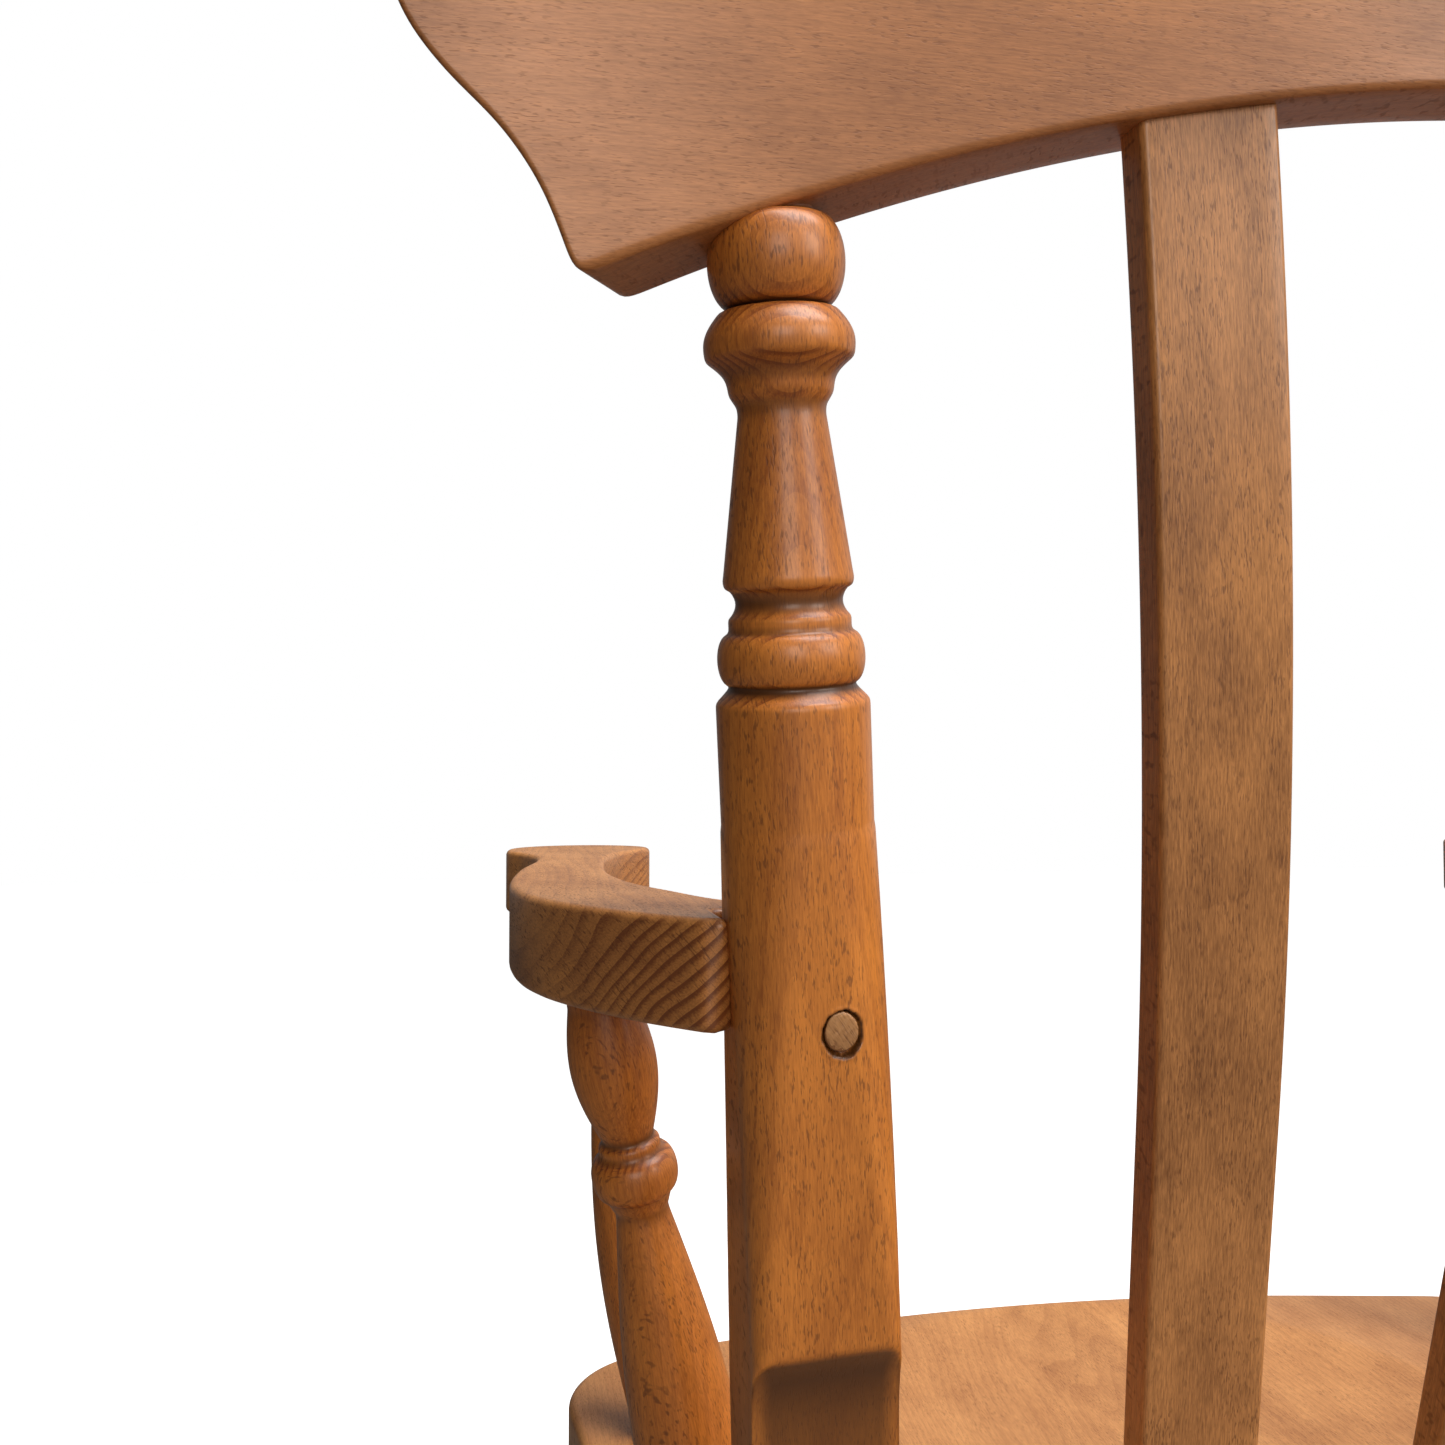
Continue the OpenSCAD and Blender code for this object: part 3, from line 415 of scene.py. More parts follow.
def postShape(board):
    # A section of half width h and corner radius c is carried along the axis. Seen from the axis it
    # is h over the larger of cosine and sine on its flats, and the far root of the corner's circle
    # round its corners; c grows until the section is the circle that the turning starts from.
    fine = np.arange(-plug["reach"], plug["reach"], plug["step"])
    plugAlong = bendRadius * (lowRake - plugRake)
    s = np.concatenate([np.arange(-3, bendLength, post["step"]), plugAlong + fine])
    s = np.sort(s[(np.abs(s - plugAlong) > plug["reach"]) | np.isin(s, plugAlong + fine)])
    profile = easedLine(np.vstack([
        [[20.2, -2.0], [20.2, 0.0]],
        [[20.2, 33.0], [19.7, 33.6], [17.2, 36.2]],
        beadLine(37.5, 51, 16.3, 3),
        [[16, 51.6], [16, 55]],
        sweepLine(55.5, 62, 15.2, 15.2, -1.3),
        [[16.6, 62.6], [17.1, 64.4], [16.8, 66]],
        [[11.3, 106.5], [11.5, 108.5], [13.4, 111.5], [13.6, 113]],
        sweepLine(113, 119.8, 13.6, 18.4, -1.2),
        sweepLine(120.3, 132, 19, 15.1, 1.9),
        beadLine(132.5, 155, 11.5, 6),
        [[9.75, 155.2], [9.75, post["neckEnd"]]]]), post["profileStep"])
    top = profile[profile[:, 1] > 0.3]
    sAll = np.concatenate([[-post["tenon"], -post["tenon"], -4.01, -4], s, bendLength + top[:, 1],
                           [bendLength + post["neckEnd"]]])
    y, z, rake = postPath(sAll)
    half = post["half"] + post["spare"] - post["taper"] * np.clip(sAll / bendLength, 0, 1)
    grow = np.clip((z - post["growFrom"]) / post["growOver"], 0, 1)
    corner = np.minimum(post["corner"] + post["cornerGrowth"] * grow ** post["growPower"], half)
    half[:4] = [0.001, post["tenonRadius"], post["tenonRadius"], half[4]]
    corner[:3] = half[:3]
    topRows = slice(4 + len(s), 4 + len(s) + len(top))
    half[topRows] = top[:, 0]
    half[-1] = 0.001
    corner[4 + len(s):] = half[4 + len(s):]
    angle = np.arange(post["around"]) * 2 * math.pi / post["around"]
    # columns crowd towards the plug's place on the section: a double sine that fades away from it
    plugAngle = math.atan2(post["half"], plug["sideways"])
    nearPlug = np.exp(-(np.cos(angle - plugAngle) - 1) ** 2)
    angle = angle + plug["crowding"] * np.sin(2 * (plugAngle - angle)) * nearPlug
    c, n = np.cos(angle), np.sin(angle)
    large, small = np.maximum(abs(c), abs(n)), np.minimum(abs(c), abs(n))
    core = (half - corner)[:, None]
    onFlat = half[:, None] * (small / large)[None] <= core
    reach = (large + small)[None] * core
    root = np.sqrt(np.maximum(reach ** 2 - 2 * core ** 2 + corner[:, None] ** 2, 0))
    far = np.where(onFlat, half[:, None] / large[None], reach + root)
    width, depth = far * c, far * n  # depth is towards the rear
    zHere = np.broadcast_to(z[:, None], depth.shape)

    # relief cut across the rear of the foot, with a hollow of reliefRadius at its top
    curve, cut = post["reliefRadius"], post["reliefDepth"]
    rise = math.sqrt(curve ** 2 - (curve - cut) ** 2)
    fromHollow = np.clip(zHere - (post["reliefTop"] - rise), 0, rise + 3)
    hollow = cut - curve + np.sqrt(curve ** 2 - fromHollow ** 2)
    farOff = 99  # past any part of the section, where nothing is cut
    limit = post["half"] - np.where(zHere > post["reliefTop"] + 6, -9.0, hollow)
    limit = np.where(sAll[:, None] < -3.5, farOff, limit)
    soft = post["reliefEdge"]
    gap = depth - limit
    cutAway = np.where(gap > -soft, (gap + soft) ** 2 / (4 * soft), 0)
    cutAway = np.where(gap > soft, gap, cutAway)
    depth = depth - cutAway
    scooped = np.clip(cutAway / 1.5, 0, 1)
    # the relief's hollow is darkened: a flat share for end grain taking more stain, and a share strongest
    # at its top, which faces down, that is stain and painted shade
    fade = post["stain"] + post["topStainAndShade"] * np.exp(
        -np.maximum(post["reliefTop"] - zHere, 0) / post["stainAndShadeFade"])

    # hole for the plug: a drilled oval with a torn, slightly raised lip
    yRow, zRow, rakeRow = y[:, None], z[:, None], rake[:, None]
    rearZ = zRow - depth * np.sin(rakeRow)
    fromX = width - (plug["x"] - post["x"] - plug["z"] * math.tan(math.radians(post["lean"])))
    fromZ = rearZ - plug["z"]
    around = np.arctan2(fromZ / plug["tall"], fromX / plug["across"])
    out = np.hypot(fromX / plug["across"], fromZ / plug["tall"])
    out = out - plug["raggedShare"] * raggedEdge(around, 1.0)
    rear = (depth > 8) & (np.abs(fromZ) < 12)
    inHole = np.where(rear, np.clip((1.0 - out) / plug["rimShare"], 0, 1), 0)
    lip = np.exp(-((out - plug["lipAt"]) / plug["lipShare"]) ** 2)
    lip = np.where(rear, lip * (0.55 + 0.6 * raggedEdge(around, 2.3)), 0)
    depth = depth - plug["deep"] * inHole + plug["lip"] * lip
    # painted shadow: a dark ring round the drilled hole's torn rim
    drillRingShadow = np.where(rear, np.exp(-((out - plug["shadowAt"]) / plug["shadowShare"]) ** 2), 0)

    local = np.stack([width, depth, np.broadcast_to(sAll[:, None], width.shape)], -1)
    points = np.stack([width, yRow + depth * np.cos(rakeRow), zRow - depth * np.sin(rakeRow)], -1)
    way = np.stack([0 * rake, np.sin(rake), np.cos(rake)], -1)[:, None]
    wearAndShade = np.zeros(width.shape)
    # grooves of the turned top are darkened as painted shade, and its beads are worn lighter
    wearAndShade[topRows] = grooveDepth(top)[:, None]
    sharp = np.clip((7 - corner) / 5, 0, 1)[:, None] * np.clip((small / large) * 4 - 3, 0, 1)[None]
    # sharp corners are worn lighter; the relief's hollow darkens with stain and painted shade, and the
    # drilled rim with a painted shadow
    wearAndShade = wearAndShade + post["sharpWear"] * sharp - scooped * fade - post["drillShadow"] * drillRingShadow
    shape = boardShape(points, way, local + board, np.clip(wearAndShade, -1, 1))
    shape["points"] = turnPoints(shape["points"], 1, post["lean"]) + (post["x"], 0, 0)
    return shape


for side, mirror, board in (("left", False, (0, 6, 140)), ("right", True, (9, -4, 860))):
    shape = postShape(board)
    addPiece("bent_post_" + side, shape, bentBeech, "back_post_" + side, mirror)
print("back posts made")

# Laths: a thin board with eased edges, straight, then bowed, then straight again

lath = {"width": 39.0, "thick": 13.0, "edge": 2.0, "x": 93.0, "lean": 4.8, "head": 23.0,
        "centreHead": 34.0, "y": -4.0, "step": 3.0,
        "rakeLow": 15.0, "rakeTop": 3.0, "bendZ": 200.0, "radius": 1334.0, "tenon": 20.0}


def eased(width, thick, edge):
    # a rectangle whose four corners are quarter circles
    turn = np.radians(np.arange(0, 90.1, 15))
    arc = np.stack([np.cos(turn), np.sin(turn)], -1) * edge
    flatX = np.linspace(1, -1, 11)[1:-1] * (width / 2 - edge)
    flatY = np.linspace(-1, 1, 5)[1:-1] * (thick / 2 - edge)
    cx, cy = width / 2 - edge, thick / 2 - edge
    return np.vstack([
        arc + (cx, cy), np.stack([flatX, 0 * flatX + thick / 2], -1),
        arc[::-1] * (-1, 1) + (-cx, cy), np.stack([0 * flatY - width / 2, flatY[::-1]], -1),
        -arc + (-cx, -cy), np.stack([-flatX, 0 * flatX - thick / 2], -1),
        arc[::-1] * (1, -1) + (cx, -cy), np.stack([0 * flatY + width / 2, flatY], -1)])


def lathShape(head, board):
    low, top = math.radians(lath["rakeLow"]), math.radians(lath["rakeTop"])
    straight = lath["bendZ"] / math.cos(low)
    bow = lath["radius"] * (low - top)
    s = np.concatenate([[-lath["tenon"]], np.arange(-lath["tenon"], straight + bow + head, lath["step"]),
                        [straight + bow + head] * 2])
    rake = low - np.clip(s - straight, 0, bow) / lath["radius"]
    before, after = np.minimum(s, straight), np.maximum(s - straight - bow, 0)
    y = before * math.sin(low) + lath["radius"] * (np.cos(rake) - math.cos(low)) + after * math.sin(top)
    z = before * math.cos(low) + lath["radius"] * (math.sin(low) - np.sin(rake)) + after * math.cos(top)
    section = eased(lath["width"], lath["thick"], lath["edge"])
    size = np.ones(len(s))
    size[[0, -1]] = 0.0001
    width, depth = (size[:, None] * section[None, :, k] for k in (0, 1))
    points = np.stack([width, y[:, None] + depth * np.cos(rake)[:, None],
                       z[:, None] - depth * np.sin(rake)[:, None]], -1)
    local = np.stack([width, depth, np.broadcast_to(s[:, None], width.shape)], -1)
    way = np.stack([0 * rake, np.sin(rake), np.cos(rake)], -1)[:, None]
    corner = (np.abs(section[:, 0]) > lath["width"] / 2 - lath["edge"] + 0.1) \
        & (np.abs(section[:, 1]) > lath["thick"] / 2 - lath["edge"] + 0.1)
    return boardShape(points, way, local + board, np.broadcast_to(0.7 * corner[None], width.shape))


for side, way, head, board in (("left", 1, lath["head"], (4, 8, 300)),
                               ("centre", 0, lath["centreHead"], (-12, 2, 1500)),
                               ("right", -1, lath["head"], (15, -6, 2600))):
    shape = lathShape(head, board)
    shape["points"] = turnPoints(shape["points"], 1, way * lath["lean"]) + (way * lath["x"], lath["y"], 0)
    addPiece("bowed_lath_" + side, shape, lathBeech, "lath_" + side)
print("laths made")

# Crest rail: one board with an arched underside and an ear at each end

crest = {"thick": 27.0, "frontShare": 0.953, "rake": 6.0, "z": 437.5, "archTop": 50.5,
         "archRadius": 665.0, "endX": 296.0,
         "cut": {"step": 1.6, "ends": (50, 50), "faceRows": 34, "rims": (2.0, 2.0), "easing": 9}}
crest["y"] = turnY + (crest["z"] - post["turnZ"]) * math.tan(math.radians(post["rakeTop"]))
crestEar = [(296, -15.4), (304, 4), (314, 18), (328, 31), (337, 43), (341, 58)]
crestTop = [(341, 58), (336, 74), (321, 84), (298, 88), (272, 96), (225, 119), (150, 142), (75, 154),
            (0, 158)]
whole = splineLine(crestEar + crestTop[1:])
earEnd = 12 * (len(crestEar) - 1)
shoulder = earEnd + 12 * 3
flip = np.array([-1, 1])
archX = np.linspace(crest["endX"], -crest["endX"], 200)
arch = np.stack([archX, crest["archTop"] - archX ** 2 / (2 * crest["archRadius"])], -1)
topLine = np.vstack([whole[shoulder:], (whole[shoulder:-1] * flip)[::-1]])
stretches = [
    (whole[:earEnd + 1][::-1], whole[earEnd:shoulder + 1]),
    (arch, topLine),
    (whole[:earEnd + 1] * flip, (whole[earEnd:shoulder + 1] * flip)[::-1]),
]
points, wearAndShade, normals = plateShape(stretches, crest["thick"], crest["cut"])
board = np.stack([points[..., 1], points[..., 2], points[..., 0]], -1) + (30, 5, 900)
shape = boardShape(points, (1, 0, 0), board, 0.6 * wearAndShade, normals)
fromRear = points[..., 2] / crest["thick"] + 0.5  # the ends slant in towards the front face
narrowed = points[..., 0] * (1 - (1 - crest["frontShare"]) * fromRear)
upright = np.stack([narrowed, -points[..., 2], points[..., 1]], -1)
shape["points"] = turnPoints(upright, 0, -crest["rake"]) + (0, crest["y"], crest["z"])
addPiece("shaped_crest_rail", shape, crestBeech, "crest_rail")
print("crest rail made")

# Arms: sawn boards with a scrolled hand, notched round the back posts

arm = {"top": 265.0, "thick": 30.0, "notchX": 251.6, "notchY": 36.4, "notchBack": 0.16,
       "cut": {"step": 1.6, "ends": (2, 24), "faceRows": 16, "rims": (2.4, 2.4), "easing": 3}}
armEdge = [(258, 66), (274, 46), (288, 23), (299, -3), (305, -34), (306, -77), (301, -135), (293, -185),
           (291, -216), (296, -243), (303, -266), (300, -290), (286, -307), (266, -314), (246, -310),
           (233, -297), (231, -281), (241, -262), (252, -238), (261, -196), (266, -146), (267, -100),
           (263, -58), (254, -24), (245, 6), (232, 25), (214, 32)]
armLine = splineLine(armEdge)
at = [12 * k for k in range(len(armEdge))]
notch = np.array([(arm["notchX"], 66), (arm["notchX"], arm["notchY"]), (213.5, arm["notchY"]), (214, 32)])
stretches = [
    (armLine[:at[1] + 6], notch[:2]),
    (armLine[at[1] + 5:at[2] + 8], notch[1:3]),
    (armLine[at[2] + 7:at[3] + 3], np.vstack([notch[2:], armLine[at[25]:at[26]][::-1]])),
    (armLine[at[3] + 2:at[10] + 1], armLine[at[17]:at[25] + 1][::-1]),
    (armLine[at[10]:at[13] + 1], armLine[at[13]:at[17] + 1][::-1]),
]
points, wearAndShade, normals = plateShape(stretches, arm["thick"], arm["cut"])
board = turnPoints(np.stack([points[..., 0] - 275, points[..., 2], points[..., 1]], -1), 2, 42)
for side, mirror, offset in (("left", False, (12, 22, 500)), ("right", True, (-8, 28, 1900))):
    shape = boardShape(points, (0, 1, 0), board + offset, 0.6 * wearAndShade, normals)
    # the notch's walls follow the post, which leans out and back
    nearNotch = np.exp(-(np.maximum(points[..., 0] - arm["notchX"] - 1.5, 0) ** 2
                         + np.maximum(arm["notchY"] - 1.5 - points[..., 1], 0) ** 2) / 4)
    sheared = points.copy()
    sheared[..., 0] += nearNotch * points[..., 2] * math.tan(math.radians(post["lean"])) * (
        points[..., 0] > 240)
    sheared[..., 1] += nearNotch * points[..., 2] * arm["notchBack"]
    shape["points"] = sheared + (0, 0, arm["top"] - arm["thick"] / 2)
    addPiece("sawn_arm_" + side, shape, armBeech, "arm_" + side, mirror)
print("arms made")

# Arm posts: vase-shaped turnings with a bead

armPosts = {"front": ((231, -222, 0), (265, -262, 235)), "rear": ((229.5, -62, 0), (279, -26, 235))}
for k, (place, (foot, head)) in enumerate(armPosts.items()):
    tall = np.linalg.norm(np.subtract(head, foot))
    line = [
        [[7.5, -18], [7.5, -4.2], [13.2, -4]],
        sweepLine(1, tall - 80, 13.2, 9, 7.2, 60),
        [[8.8, tall - 77.5]],
        beadLine(tall - 71.5, tall - 58, 11.3, 3),
        [[10.2, tall - 56.5], [10.2, tall - 54]],
        sweepLine(tall - 52.5, tall - 6, 8.4, 11, 4.4, 40),
        [[10.8, tall + 4], [7.5, tall + 4.2], [7.5, tall + 18]],
    ]
    for side, mirror in (("left", False), ("right", True)):
        shape = turnedShape(line, foot, head, 70 + 50 * k + 90 * mirror,
                            (5 * k, 9, 700 * k + 350 * mirror), 64, 0.7)
        addPiece("turned_%s_arm_post_%s" % (place, side), shape, turnedBeech,
                 "%s_arm_post_%s" % (place, side), mirror)
print("arm posts made")

# Seat: scooped, with rounded corners

seat = {"thick": 38.0, "rearHalf": 245.0, "rear": 42.0, "frontHalf": 277.0, "frontSide": -304.0,
        "front": -356.0, "frontCorner": 58.0, "frontBow": 850.0, "rearCorner": 34.0,
        "dishDepth": 9.0, "dishRadius": 1500.0, "dishY": -175.0,
        "cut": {"step": 3.0, "ends": (62, 62), "faceRows": 46, "rims": (7.0, 4.0), "easing": 1}}


def roundedCorner(before, at, after, radius):
    # the arc of that radius that touches both lines which meet at the corner
    before, at, after = (np.asarray(p, float) for p in (before, at, after))
    u, v = (before - at) / np.linalg.norm(before - at), (after - at) / np.linalg.norm(after - at)
    halfAngle = math.acos(float(u @ v)) / 2
    middle = at + (u + v) / np.linalg.norm(u + v) * radius / math.sin(halfAngle)
    start, end = (at + w * radius / math.tan(halfAngle) - middle for w in (u, v))
    first = math.atan2(start[1], start[0])
    sweep = (math.atan2(end[1], end[0]) - first + 3 * math.pi) % (2 * math.pi) - math.pi
    t = first + sweep * np.linspace(0, 1, 24)
    return middle + radius * np.stack([np.cos(t), np.sin(t)], -1)


corners = [(seat["rearHalf"], seat["rear"]), (seat["frontHalf"], seat["frontSide"]), (0, seat["front"]),
           (-seat["frontHalf"], seat["frontSide"]), (-seat["rearHalf"], seat["rear"])]
sideMiddle = (np.array(corners[0]) + corners[1]) / 2
frontEdge = np.vstack([
    [sideMiddle], roundedCorner(*corners[:3], seat["frontCorner"]),
    roundedCorner(*corners[1:4], seat["frontBow"]),
    roundedCorner(*corners[2:5], seat["frontCorner"]), [sideMiddle * flip]])
rearEdge = np.vstack([
    [sideMiddle], roundedCorner(corners[1], corners[0], corners[4], seat["rearCorner"]),
    roundedCorner(corners[0], corners[4], corners[3], seat["rearCorner"]), [sideMiddle * flip]])
points, wearAndShade, normals = plateShape([(frontEdge, rearEdge)], seat["thick"], seat["cut"])
fromDish = np.hypot(points[..., 0], points[..., 1] - seat["dishY"])
bowl = seat["dishRadius"] - seat["dishDepth"] - np.sqrt(
    seat["dishRadius"] ** 2 - np.minimum(fromDish, 400) ** 2)
points[..., 2] = np.where(points[..., 2] > 0, np.minimum(points[..., 2] - seat["thick"] / 2, bowl),
                          points[..., 2] - seat["thick"] / 2)
board = np.stack([points[..., 0], points[..., 2], points[..., 1]], -1) + (0, 20, 400)
shape = boardShape(points, (0, 1, 0), board, 0.5 * wearAndShade, normals)
addPiece("scooped_seat", shape, seatBeech, "seat")
print("seat made")

# Rockers: sawn curved boards with round tips

rocker = {"radius": 1050.0, "topRadius": 1480.0, "height": 58.0, "width": 30.0, "length": 830.0,
          "x": 234.0, "lowY": 27.0, "tipGuess": 18.0,
          "cut": {"step": 2.2, "ends": (16, 16), "faceRows": 12, "rims": (2.5, 2.5), "easing": 1}}


def rockerTop(y):
    return rocker["height"] + rocker["topRadius"] - np.sqrt(
        rocker["topRadius"] ** 2 - (y - rocker["lowY"]) ** 2)


def rockerLow(y):
    return rocker["radius"] - np.sqrt(rocker["radius"] ** 2 - (y - rocker["lowY"]) ** 2)


tips = []
for way in (-1, 1):
    guess = way * (rocker["length"] / 2 - rocker["tipGuess"])
    halfHigh = (rockerTop(guess) - rockerLow(guess)) / 2
    tips.append(way * (rocker["length"] / 2 - halfHigh))
rearTip, frontTip = tips[1], tips[0]
arcY = np.linspace(frontTip, rearTip, 160)


def tipLine(y, way, up):
    # a quarter circle between the rocker's tip and its top or rolling edge
    half = (rockerTop(y) - rockerLow(y)) / 2
    t = np.radians(np.linspace(0, 90, 20))
    return np.stack([y + way * half * np.cos(t), rockerTop(y) - half + up * half * np.sin(t)], -1)


lowLine = np.vstack([tipLine(frontTip, -1, -1), np.stack([arcY, rockerLow(arcY)], -1)[1:-1],
                     tipLine(rearTip, 1, -1)[::-1]])
highLine = np.vstack([tipLine(frontTip, -1, 1), np.stack([arcY, rockerTop(arcY)], -1)[1:-1],
                      tipLine(rearTip, 1, 1)[::-1]])
points, wearAndShade, normals = plateShape([(lowLine, highLine)], rocker["width"], rocker["cut"])
board = np.stack([points[..., 2], points[..., 1], points[..., 0]], -1)
for side, mirror, offset in (("left", False, (3, 8, 200)), ("right", True, (-6, 14, 1600))):
    shape = boardShape(points, (1, 0, 0), board + offset, 0.6 * wearAndShade, normals)
    shape["points"] = np.stack([points[..., 2] + rocker["x"], points[..., 0], points[..., 1]], -1)
    addPiece("sawn_rocker_" + side, shape, armBeech, "rocker_" + side, mirror, False)
print("rockers made")

# Legs and stretchers

leg = {"diameter": 42.0, "tenonRadius": 12.0, "share": 0.36, "legGap": 21.4, "crossGap": 12.8}
legEnds = {}
for place, head, footY in (("front", (186, -272, -38), -212), ("rear", (168, -18, -38), 178)):
    legEnds[place] = (np.array([rocker["x"], footY, rockerTop(footY)]), seatToRoom(np.array(head, float)))
for k, (place, (foot, head)) in enumerate(legEnds.items()):
    tall = np.linalg.norm(head - foot)
    mid = leg["share"] * tall
    line = [
        [[11, -30], [11, -4.2], [14, -4], [14.5, 2]],
        sweepLine(6, mid - 42, 15, 12.5, 1.5),
        beadLine(mid - 39, mid - 31, 13.5, 3.5),
        sweepLine(mid - 30, mid + 30, 13.5, 13.5, leg["diameter"] / 2 - 15, 30),
        beadLine(mid + 31, mid + 39, 13.5, 3.5),
        sweepLine(mid + 42, mid + 92, 12, 16.5, 4.5, 30),
        beadLine(mid + 94, mid + 103, 14, 4),
        sweepLine(mid + 105, tall - 4, 14, 14.5, 3, 40),
        [[14, tall + 4], [12, tall + 4.2], [12, tall + 24]],
    ]
    for side, mirror in (("left", False), ("right", True)):
        shape = turnedShape(line, foot, head, 20 + 130 * k + 60 * mirror,
                            (8, 4 * k, 900 * k + 400 * mirror), 64, 0.9)
        addPiece("turned_%s_leg_%s" % (place, side), shape, turnedBeech,
                 "leg_%s_%s" % (place, side), mirror, False)


def stretcherLine(tall, bury, out):
    mid = tall / 2
    return [
        [[6.5, bury - 13], [6.5, bury - 0.1], [8.5, bury + 0.4]],
        sweepLine(bury + 1, mid - 22, 8.5, 10.5, out, 40),
        beadLine(mid - 19, mid - 13, 10.5, 2),
        sweepLine(mid - 12, mid + 12, 11, 11, 2),
        beadLine(mid + 13, mid + 19, 10.5, 2),
        sweepLine(mid + 22, tall - bury - 1, 10.5, 8.5, out, 40),
        [[8.5, tall - bury - 0.4], [6.5, tall - bury + 0.1], [6.5, tall - bury + 13]],
    ]


sideEnds = [foot + (head - foot) * leg["share"] for foot, head in legEnds.values()]
line = stretcherLine(np.linalg.norm(sideEnds[1] - sideEnds[0]), leg["legGap"], 1.0)
for side, mirror in (("left", False), ("right", True)):
    shape = turnedShape(line, *sideEnds, 40 + 80 * mirror, (4, -6, 300 + 700 * mirror), 56, 0.9)
    addPiece("turned_side_stretcher_" + side, shape, turnedBeech, "side_stretcher_" + side,
             mirror, False)
crossEnd = (sideEnds[0] + sideEnds[1]) / 2
line = stretcherLine(2 * crossEnd[0], leg["crossGap"], 2.0)
shape = turnedShape(line, crossEnd * (-1, 1, 1), crossEnd, 15, (0, 10, 2100), 56, 0.9)
addPiece("turned_cross_stretcher", shape, turnedBeech, "cross_stretcher", False, False)
print("legs and stretchers made")

# Plugs over the arm screws, and the pegs through the rockers


def plugShape():
    # a dome on an oval rim that drops into its hole; rows go from the middle of the face to the bottom
    angle = np.arange(72) * 2 * math.pi / 72
    size = np.concatenate([np.linspace(0, 0.86, 12), [0.91, 0.95, 0.98, 0.995, 1.0], np.ones(5), [0.0]])
    drop = np.concatenate([0.35 * np.linspace(0, 0.86, 12) ** 2, [0.32, 0.42, 0.58, 0.8, 1.0],
                           np.linspace(1.3, 12.0, 5), [12.0]])
    edge = 1 + 0.025 * raggedEdge(angle, 4.1)
    across = size[:, None] * 4.5 * (np.cos(angle) * edge)[None]
    tall = size[:, None] * 5.45 * (np.sin(angle) * edge)[None]
    grain = 0.08 * np.sin(across * 2.6 + tall * 1.9 + 0.6 * np.sin(tall * 1.3))
    depth = -drop[:, None] + grain * (size[:, None] < 0.9) + 0.035 * tall - 0.03 * across
    return across, depth + 0.12, tall


across, depth, tall = plugShape()
plugY = bendRadius * (math.cos(plugRake) - math.cos(lowRake)) + post["half"] * math.cos(plugRake)
for side, mirror, offset in (("left", False, (0, 0, 0)), ("right", True, (7, 0, 40))):
    points = np.stack([across + 0.3, depth * math.cos(plugRake) + tall * math.sin(plugRake),
                       tall * math.cos(plugRake) - depth * math.sin(plugRake) + 0.3], -1)
    board = turnPoints(np.stack([across, tall, depth], -1), 2, 35)[..., [0, 2, 1]] + offset
    # painted shade: the plug's sides below the post's surface, down in its hole, are darkened
    shape = boardShape(points, (0, 0, 1), board, np.where(depth < -0.5, -0.9, 0.0))
    shape["endGrain"] = np.zeros(depth.shape)
    shape["points"] = points + (plug["x"], plugY, plug["z"])
    addPiece("pared_plug_" + side, shape, plugBeech, "arm_plug_" + side, mirror)
print("plugs made")

peg = {"radius": 3.95, "length": 30.0, "dome": 0.6, "drop": 18.0}
pegLine = [[[1.2, -peg["dome"]], [2.8, -0.7 * peg["dome"]], [peg["radius"], 0.4]],
           [[peg["radius"], peg["length"] - 0.4], [2.8, peg["length"] + 0.7 * peg["dome"]],
            [1.2, peg["length"] + peg["dome"]]]]
for k, (place, (foot, head)) in enumerate(legEnds.items()):
    middle = foot - (head - foot) / np.linalg.norm(head - foot) * peg["drop"]
    inner = np.array([rocker["x"] - peg["length"] / 2, middle[1], middle[2]])
    for side, mirror in (("left", False), ("right", True)):
        shape = turnedShape(pegLine, inner, inner + (peg["length"], 0, 0), 40 * k, (3 * k, 4, 90 * k),
                            32, 0.5)
        addPiece("rocker_peg_%s_%s" % (place, side), shape, plugBeech, "rocker_pegs",
                 mirror, False)
print("pegs made")

# the steel of wood screws, drawn and zinc plated: a cool grey gleam, mottled about every millimetre
steel = bpy.data.materials.new("Zinc plated steel, rolled thread")
steel.use_nodes = True
tree = steel.node_tree
spot = addNode(tree, "ShaderNodeTexCoord", {}, {}).outputs["Object"]
grain = addNode(tree, "ShaderNodeTexNoise", {}, {"Vector": spot, "Scale": 900.0, "Detail": 2.0})
gloss = addNode(tree, "ShaderNodeMapRange", {}, {"Value": grain, "To Min": 0.25, "To Max": 0.45})
steelShader = tree.nodes["Principled BSDF"]
steelShader.inputs["Base Color"].default_value = linearColour("#B9BCBE")
steelShader.inputs["Metallic"].default_value = 1.0
tree.links.new(gloss.outputs["Result"], steelShader.inputs["Roughness"])
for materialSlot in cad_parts["arm_screws"].material_slots:
    materialSlot.material = steel
print("screws finished")

# Camera: behind the sitter's left shoulder, turned and tipped in the seat's frame

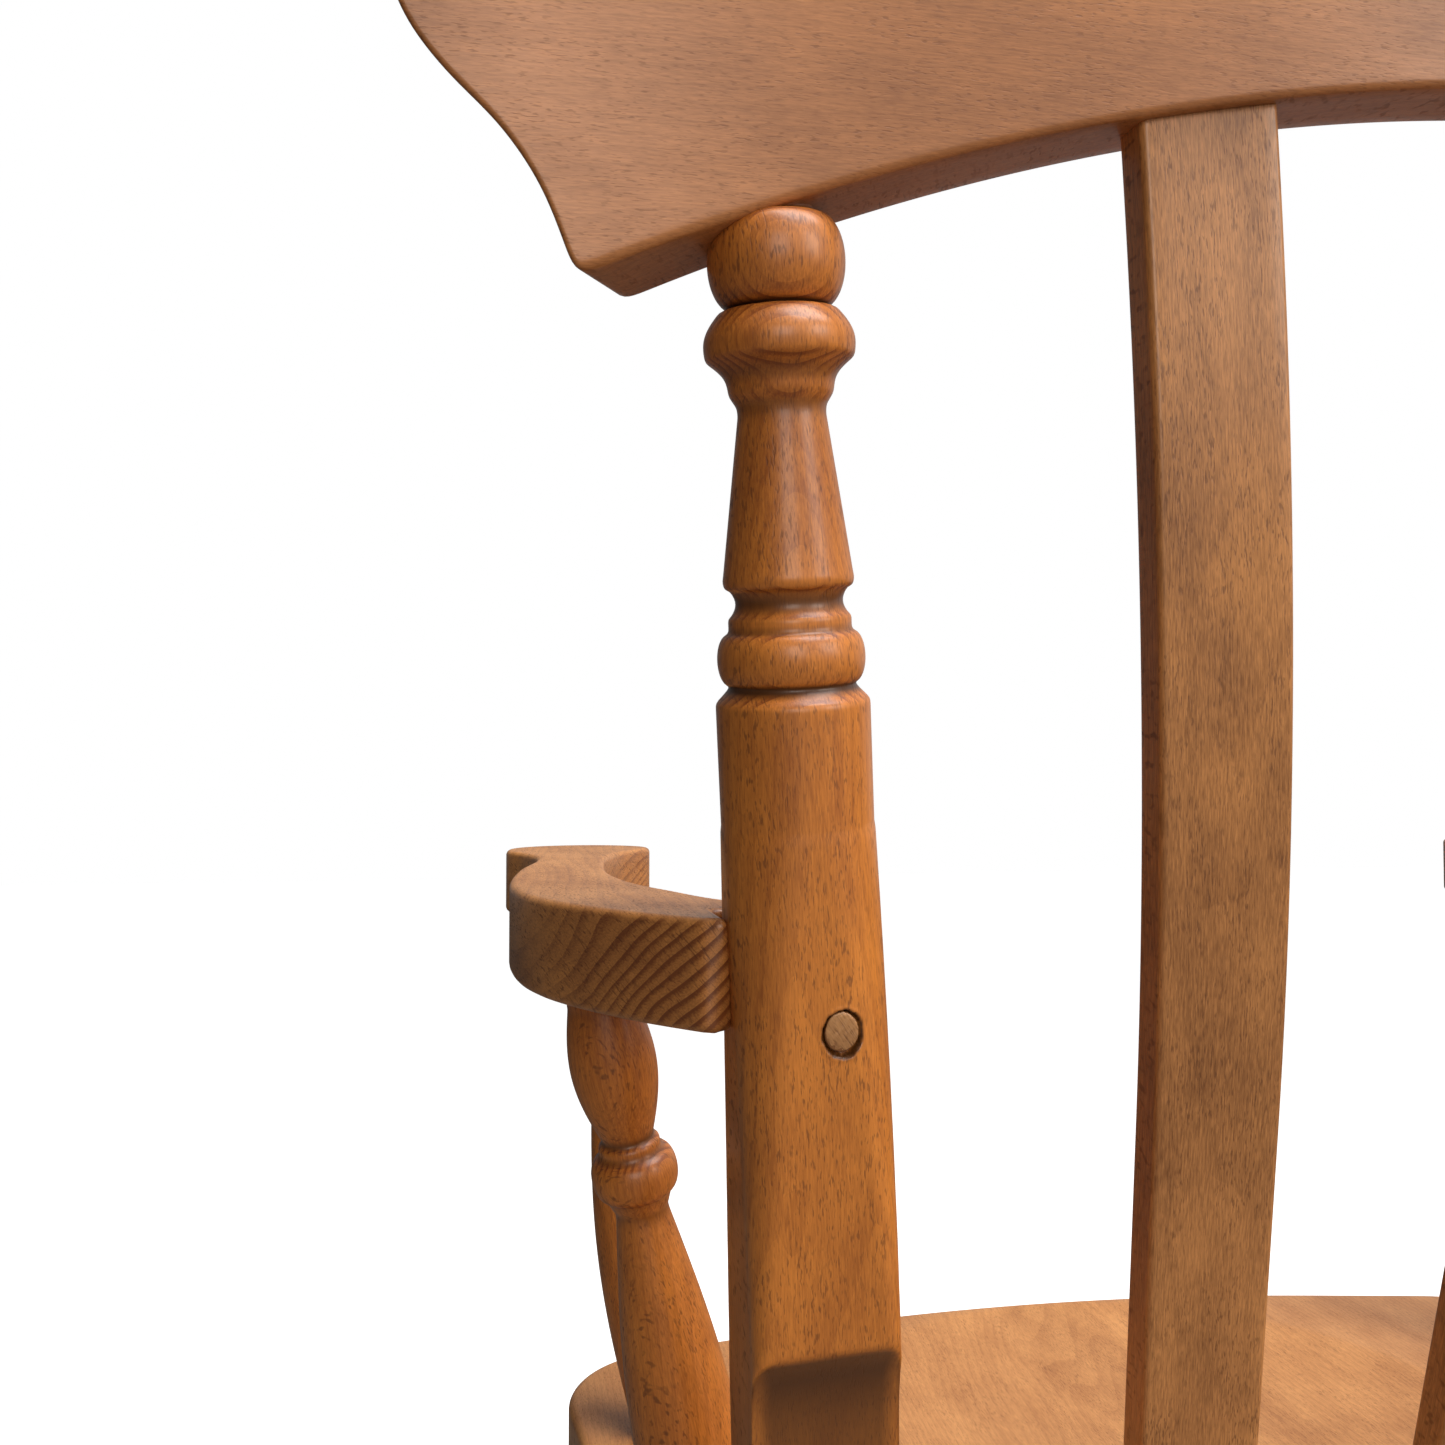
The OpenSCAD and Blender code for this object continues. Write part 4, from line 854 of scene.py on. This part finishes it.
view = {"place": (317.6, 424.4, 303.1), "turn": 10.0, "tip": 2.07, "lens": 34.65, "sensor": 36.0,
        "near": 0.02}
turn, tip = math.radians(view["turn"]), math.radians(view["tip"])
ahead = np.array([-math.sin(turn) * math.cos(tip), -math.cos(turn) * math.cos(tip), math.sin(tip)])
right = np.array([-math.cos(turn), math.sin(turn), 0.0])
axes = [turnPoints(v, 0, -seatFrame["lean"]) for v in (right, np.cross(right, ahead), -ahead)]
camera = bpy.data.objects.new("camera", bpy.data.cameras.new("camera"))
camera.data.lens = view["lens"]
camera.data.sensor_width = view["sensor"]
camera.data.clip_start = view["near"]
camera.matrix_world = Matrix.Translation(Vector(seatToRoom(np.array(view["place"])) / 1000)) @ Matrix(
    np.array(axes).T.tolist()).to_4x4()
bpy.context.scene.collection.objects.link(camera)
bpy.context.scene.camera = camera

# Floor and light

studio = {"floor": "#F6F4F1", "bounce": "#6E675F", "floorGlow": 0.78, "ambientRight": 0.5,
          "ambientLeft": 0.05, "reach": 30.0}
floorMaterial = bpy.data.materials.new("Pale painted floor")
floorMaterial.use_nodes = True
floorTree = floorMaterial.node_tree
floorShader = floorTree.nodes["Principled BSDF"]
seen = addNode(floorTree, "ShaderNodeLightPath", {}, {}).outputs["Is Camera Ray"]
# the floor shows near white, and throws only a little light back at the chair
shown = addNode(floorTree, "ShaderNodeMix", {"data_type": "RGBA"}, {
    "Factor": seen, "A": linearColour(studio["bounce"]), "B": linearColour(studio["floor"])})
floorTree.links.new(next(o for o in shown.outputs if o.enabled), floorShader.inputs["Base Color"])
glow = addNode(floorTree, "ShaderNodeMath", {"operation": "MULTIPLY"}, {0: seen, 1: studio["floorGlow"]})
floorTree.links.new(glow.outputs["Value"], floorShader.inputs["Emission Strength"])
floorShader.inputs["Emission Color"].default_value = (1.0, 1.0, 1.0, 1.0)
floorShader.inputs["Roughness"].default_value = 0.8
floorMesh = bpy.data.meshes.new("floor")
wide = studio["reach"]
floorMesh.from_pydata([(-wide, -wide, 0), (wide, -wide, 0), (wide, wide, 0), (-wide, wide, 0)], [],
                      [(0, 1, 2, 3)])
floorMesh.materials.append(floorMaterial)
floor = bpy.data.objects.new("floor", floorMesh)
bpy.context.scene.collection.objects.link(floor)

world = bpy.data.worlds.new("soft studio")
world.use_nodes = True
backdrop = world.node_tree.nodes["Background"]
backdrop.inputs["Color"].default_value = (1.0, 1.0, 1.0, 1.0)
seen = addNode(world.node_tree, "ShaderNodeLightPath", {}, {}).outputs["Is Camera Ray"]
# soft light from every side, weaker from the sitter's left, behind a plain white backdrop
toward = addNode(world.node_tree, "ShaderNodeTexCoord", {}, {}).outputs["Generated"]
leftward = addNode(world.node_tree, "ShaderNodeSeparateXYZ", {}, {0: toward}).outputs["X"]
soft = addNode(world.node_tree, "ShaderNodeMapRange", {}, {
    "Value": leftward, "From Min": -0.6, "From Max": 0.6, "To Min": studio["ambientRight"],
    "To Max": studio["ambientLeft"]})
strength = addNode(world.node_tree, "ShaderNodeMapRange", {}, {"Value": seen, "To Min": soft})
world.node_tree.links.new(strength.outputs["Result"], backdrop.inputs["Strength"])
bpy.context.scene.world = world
bpy.context.scene.view_settings.view_transform = "Standard"

lamps = {
    "window": {"at": (-2.4, 2.6, 1.9), "aim": (0.1, 0.1, 0.8), "size": 1.6, "watts": 46.0,
               "colour": "#FFF8EE"},
    "rear": {"at": (0.5, 3.2, 1.3), "aim": (0.1, 0.1, 0.8), "size": 1.4, "watts": 27.0,
             "colour": "#FFFAF2"},
    "overhead": {"at": (-0.5, 0.7, 3.0), "aim": (0.0, 0.1, 0.6), "size": 1.8, "watts": 88.0,
                 "colour": "#FFFFFF"},
}
for name, lamp in lamps.items():
    light = bpy.data.lights.new(name, "AREA")
    light.size = lamp["size"]
    light.energy = lamp["watts"]
    light.color = linearColour(lamp["colour"])[:3]
    place = Vector(lamp["at"])
    holder = bpy.data.objects.new(name, light)
    holder.matrix_world = Matrix.Translation(place) @ (Vector(lamp["aim"]) - place).to_track_quat(
        "-Z", "Y").to_matrix().to_4x4()
    bpy.context.scene.collection.objects.link(holder)
print("camera, floor and light made")
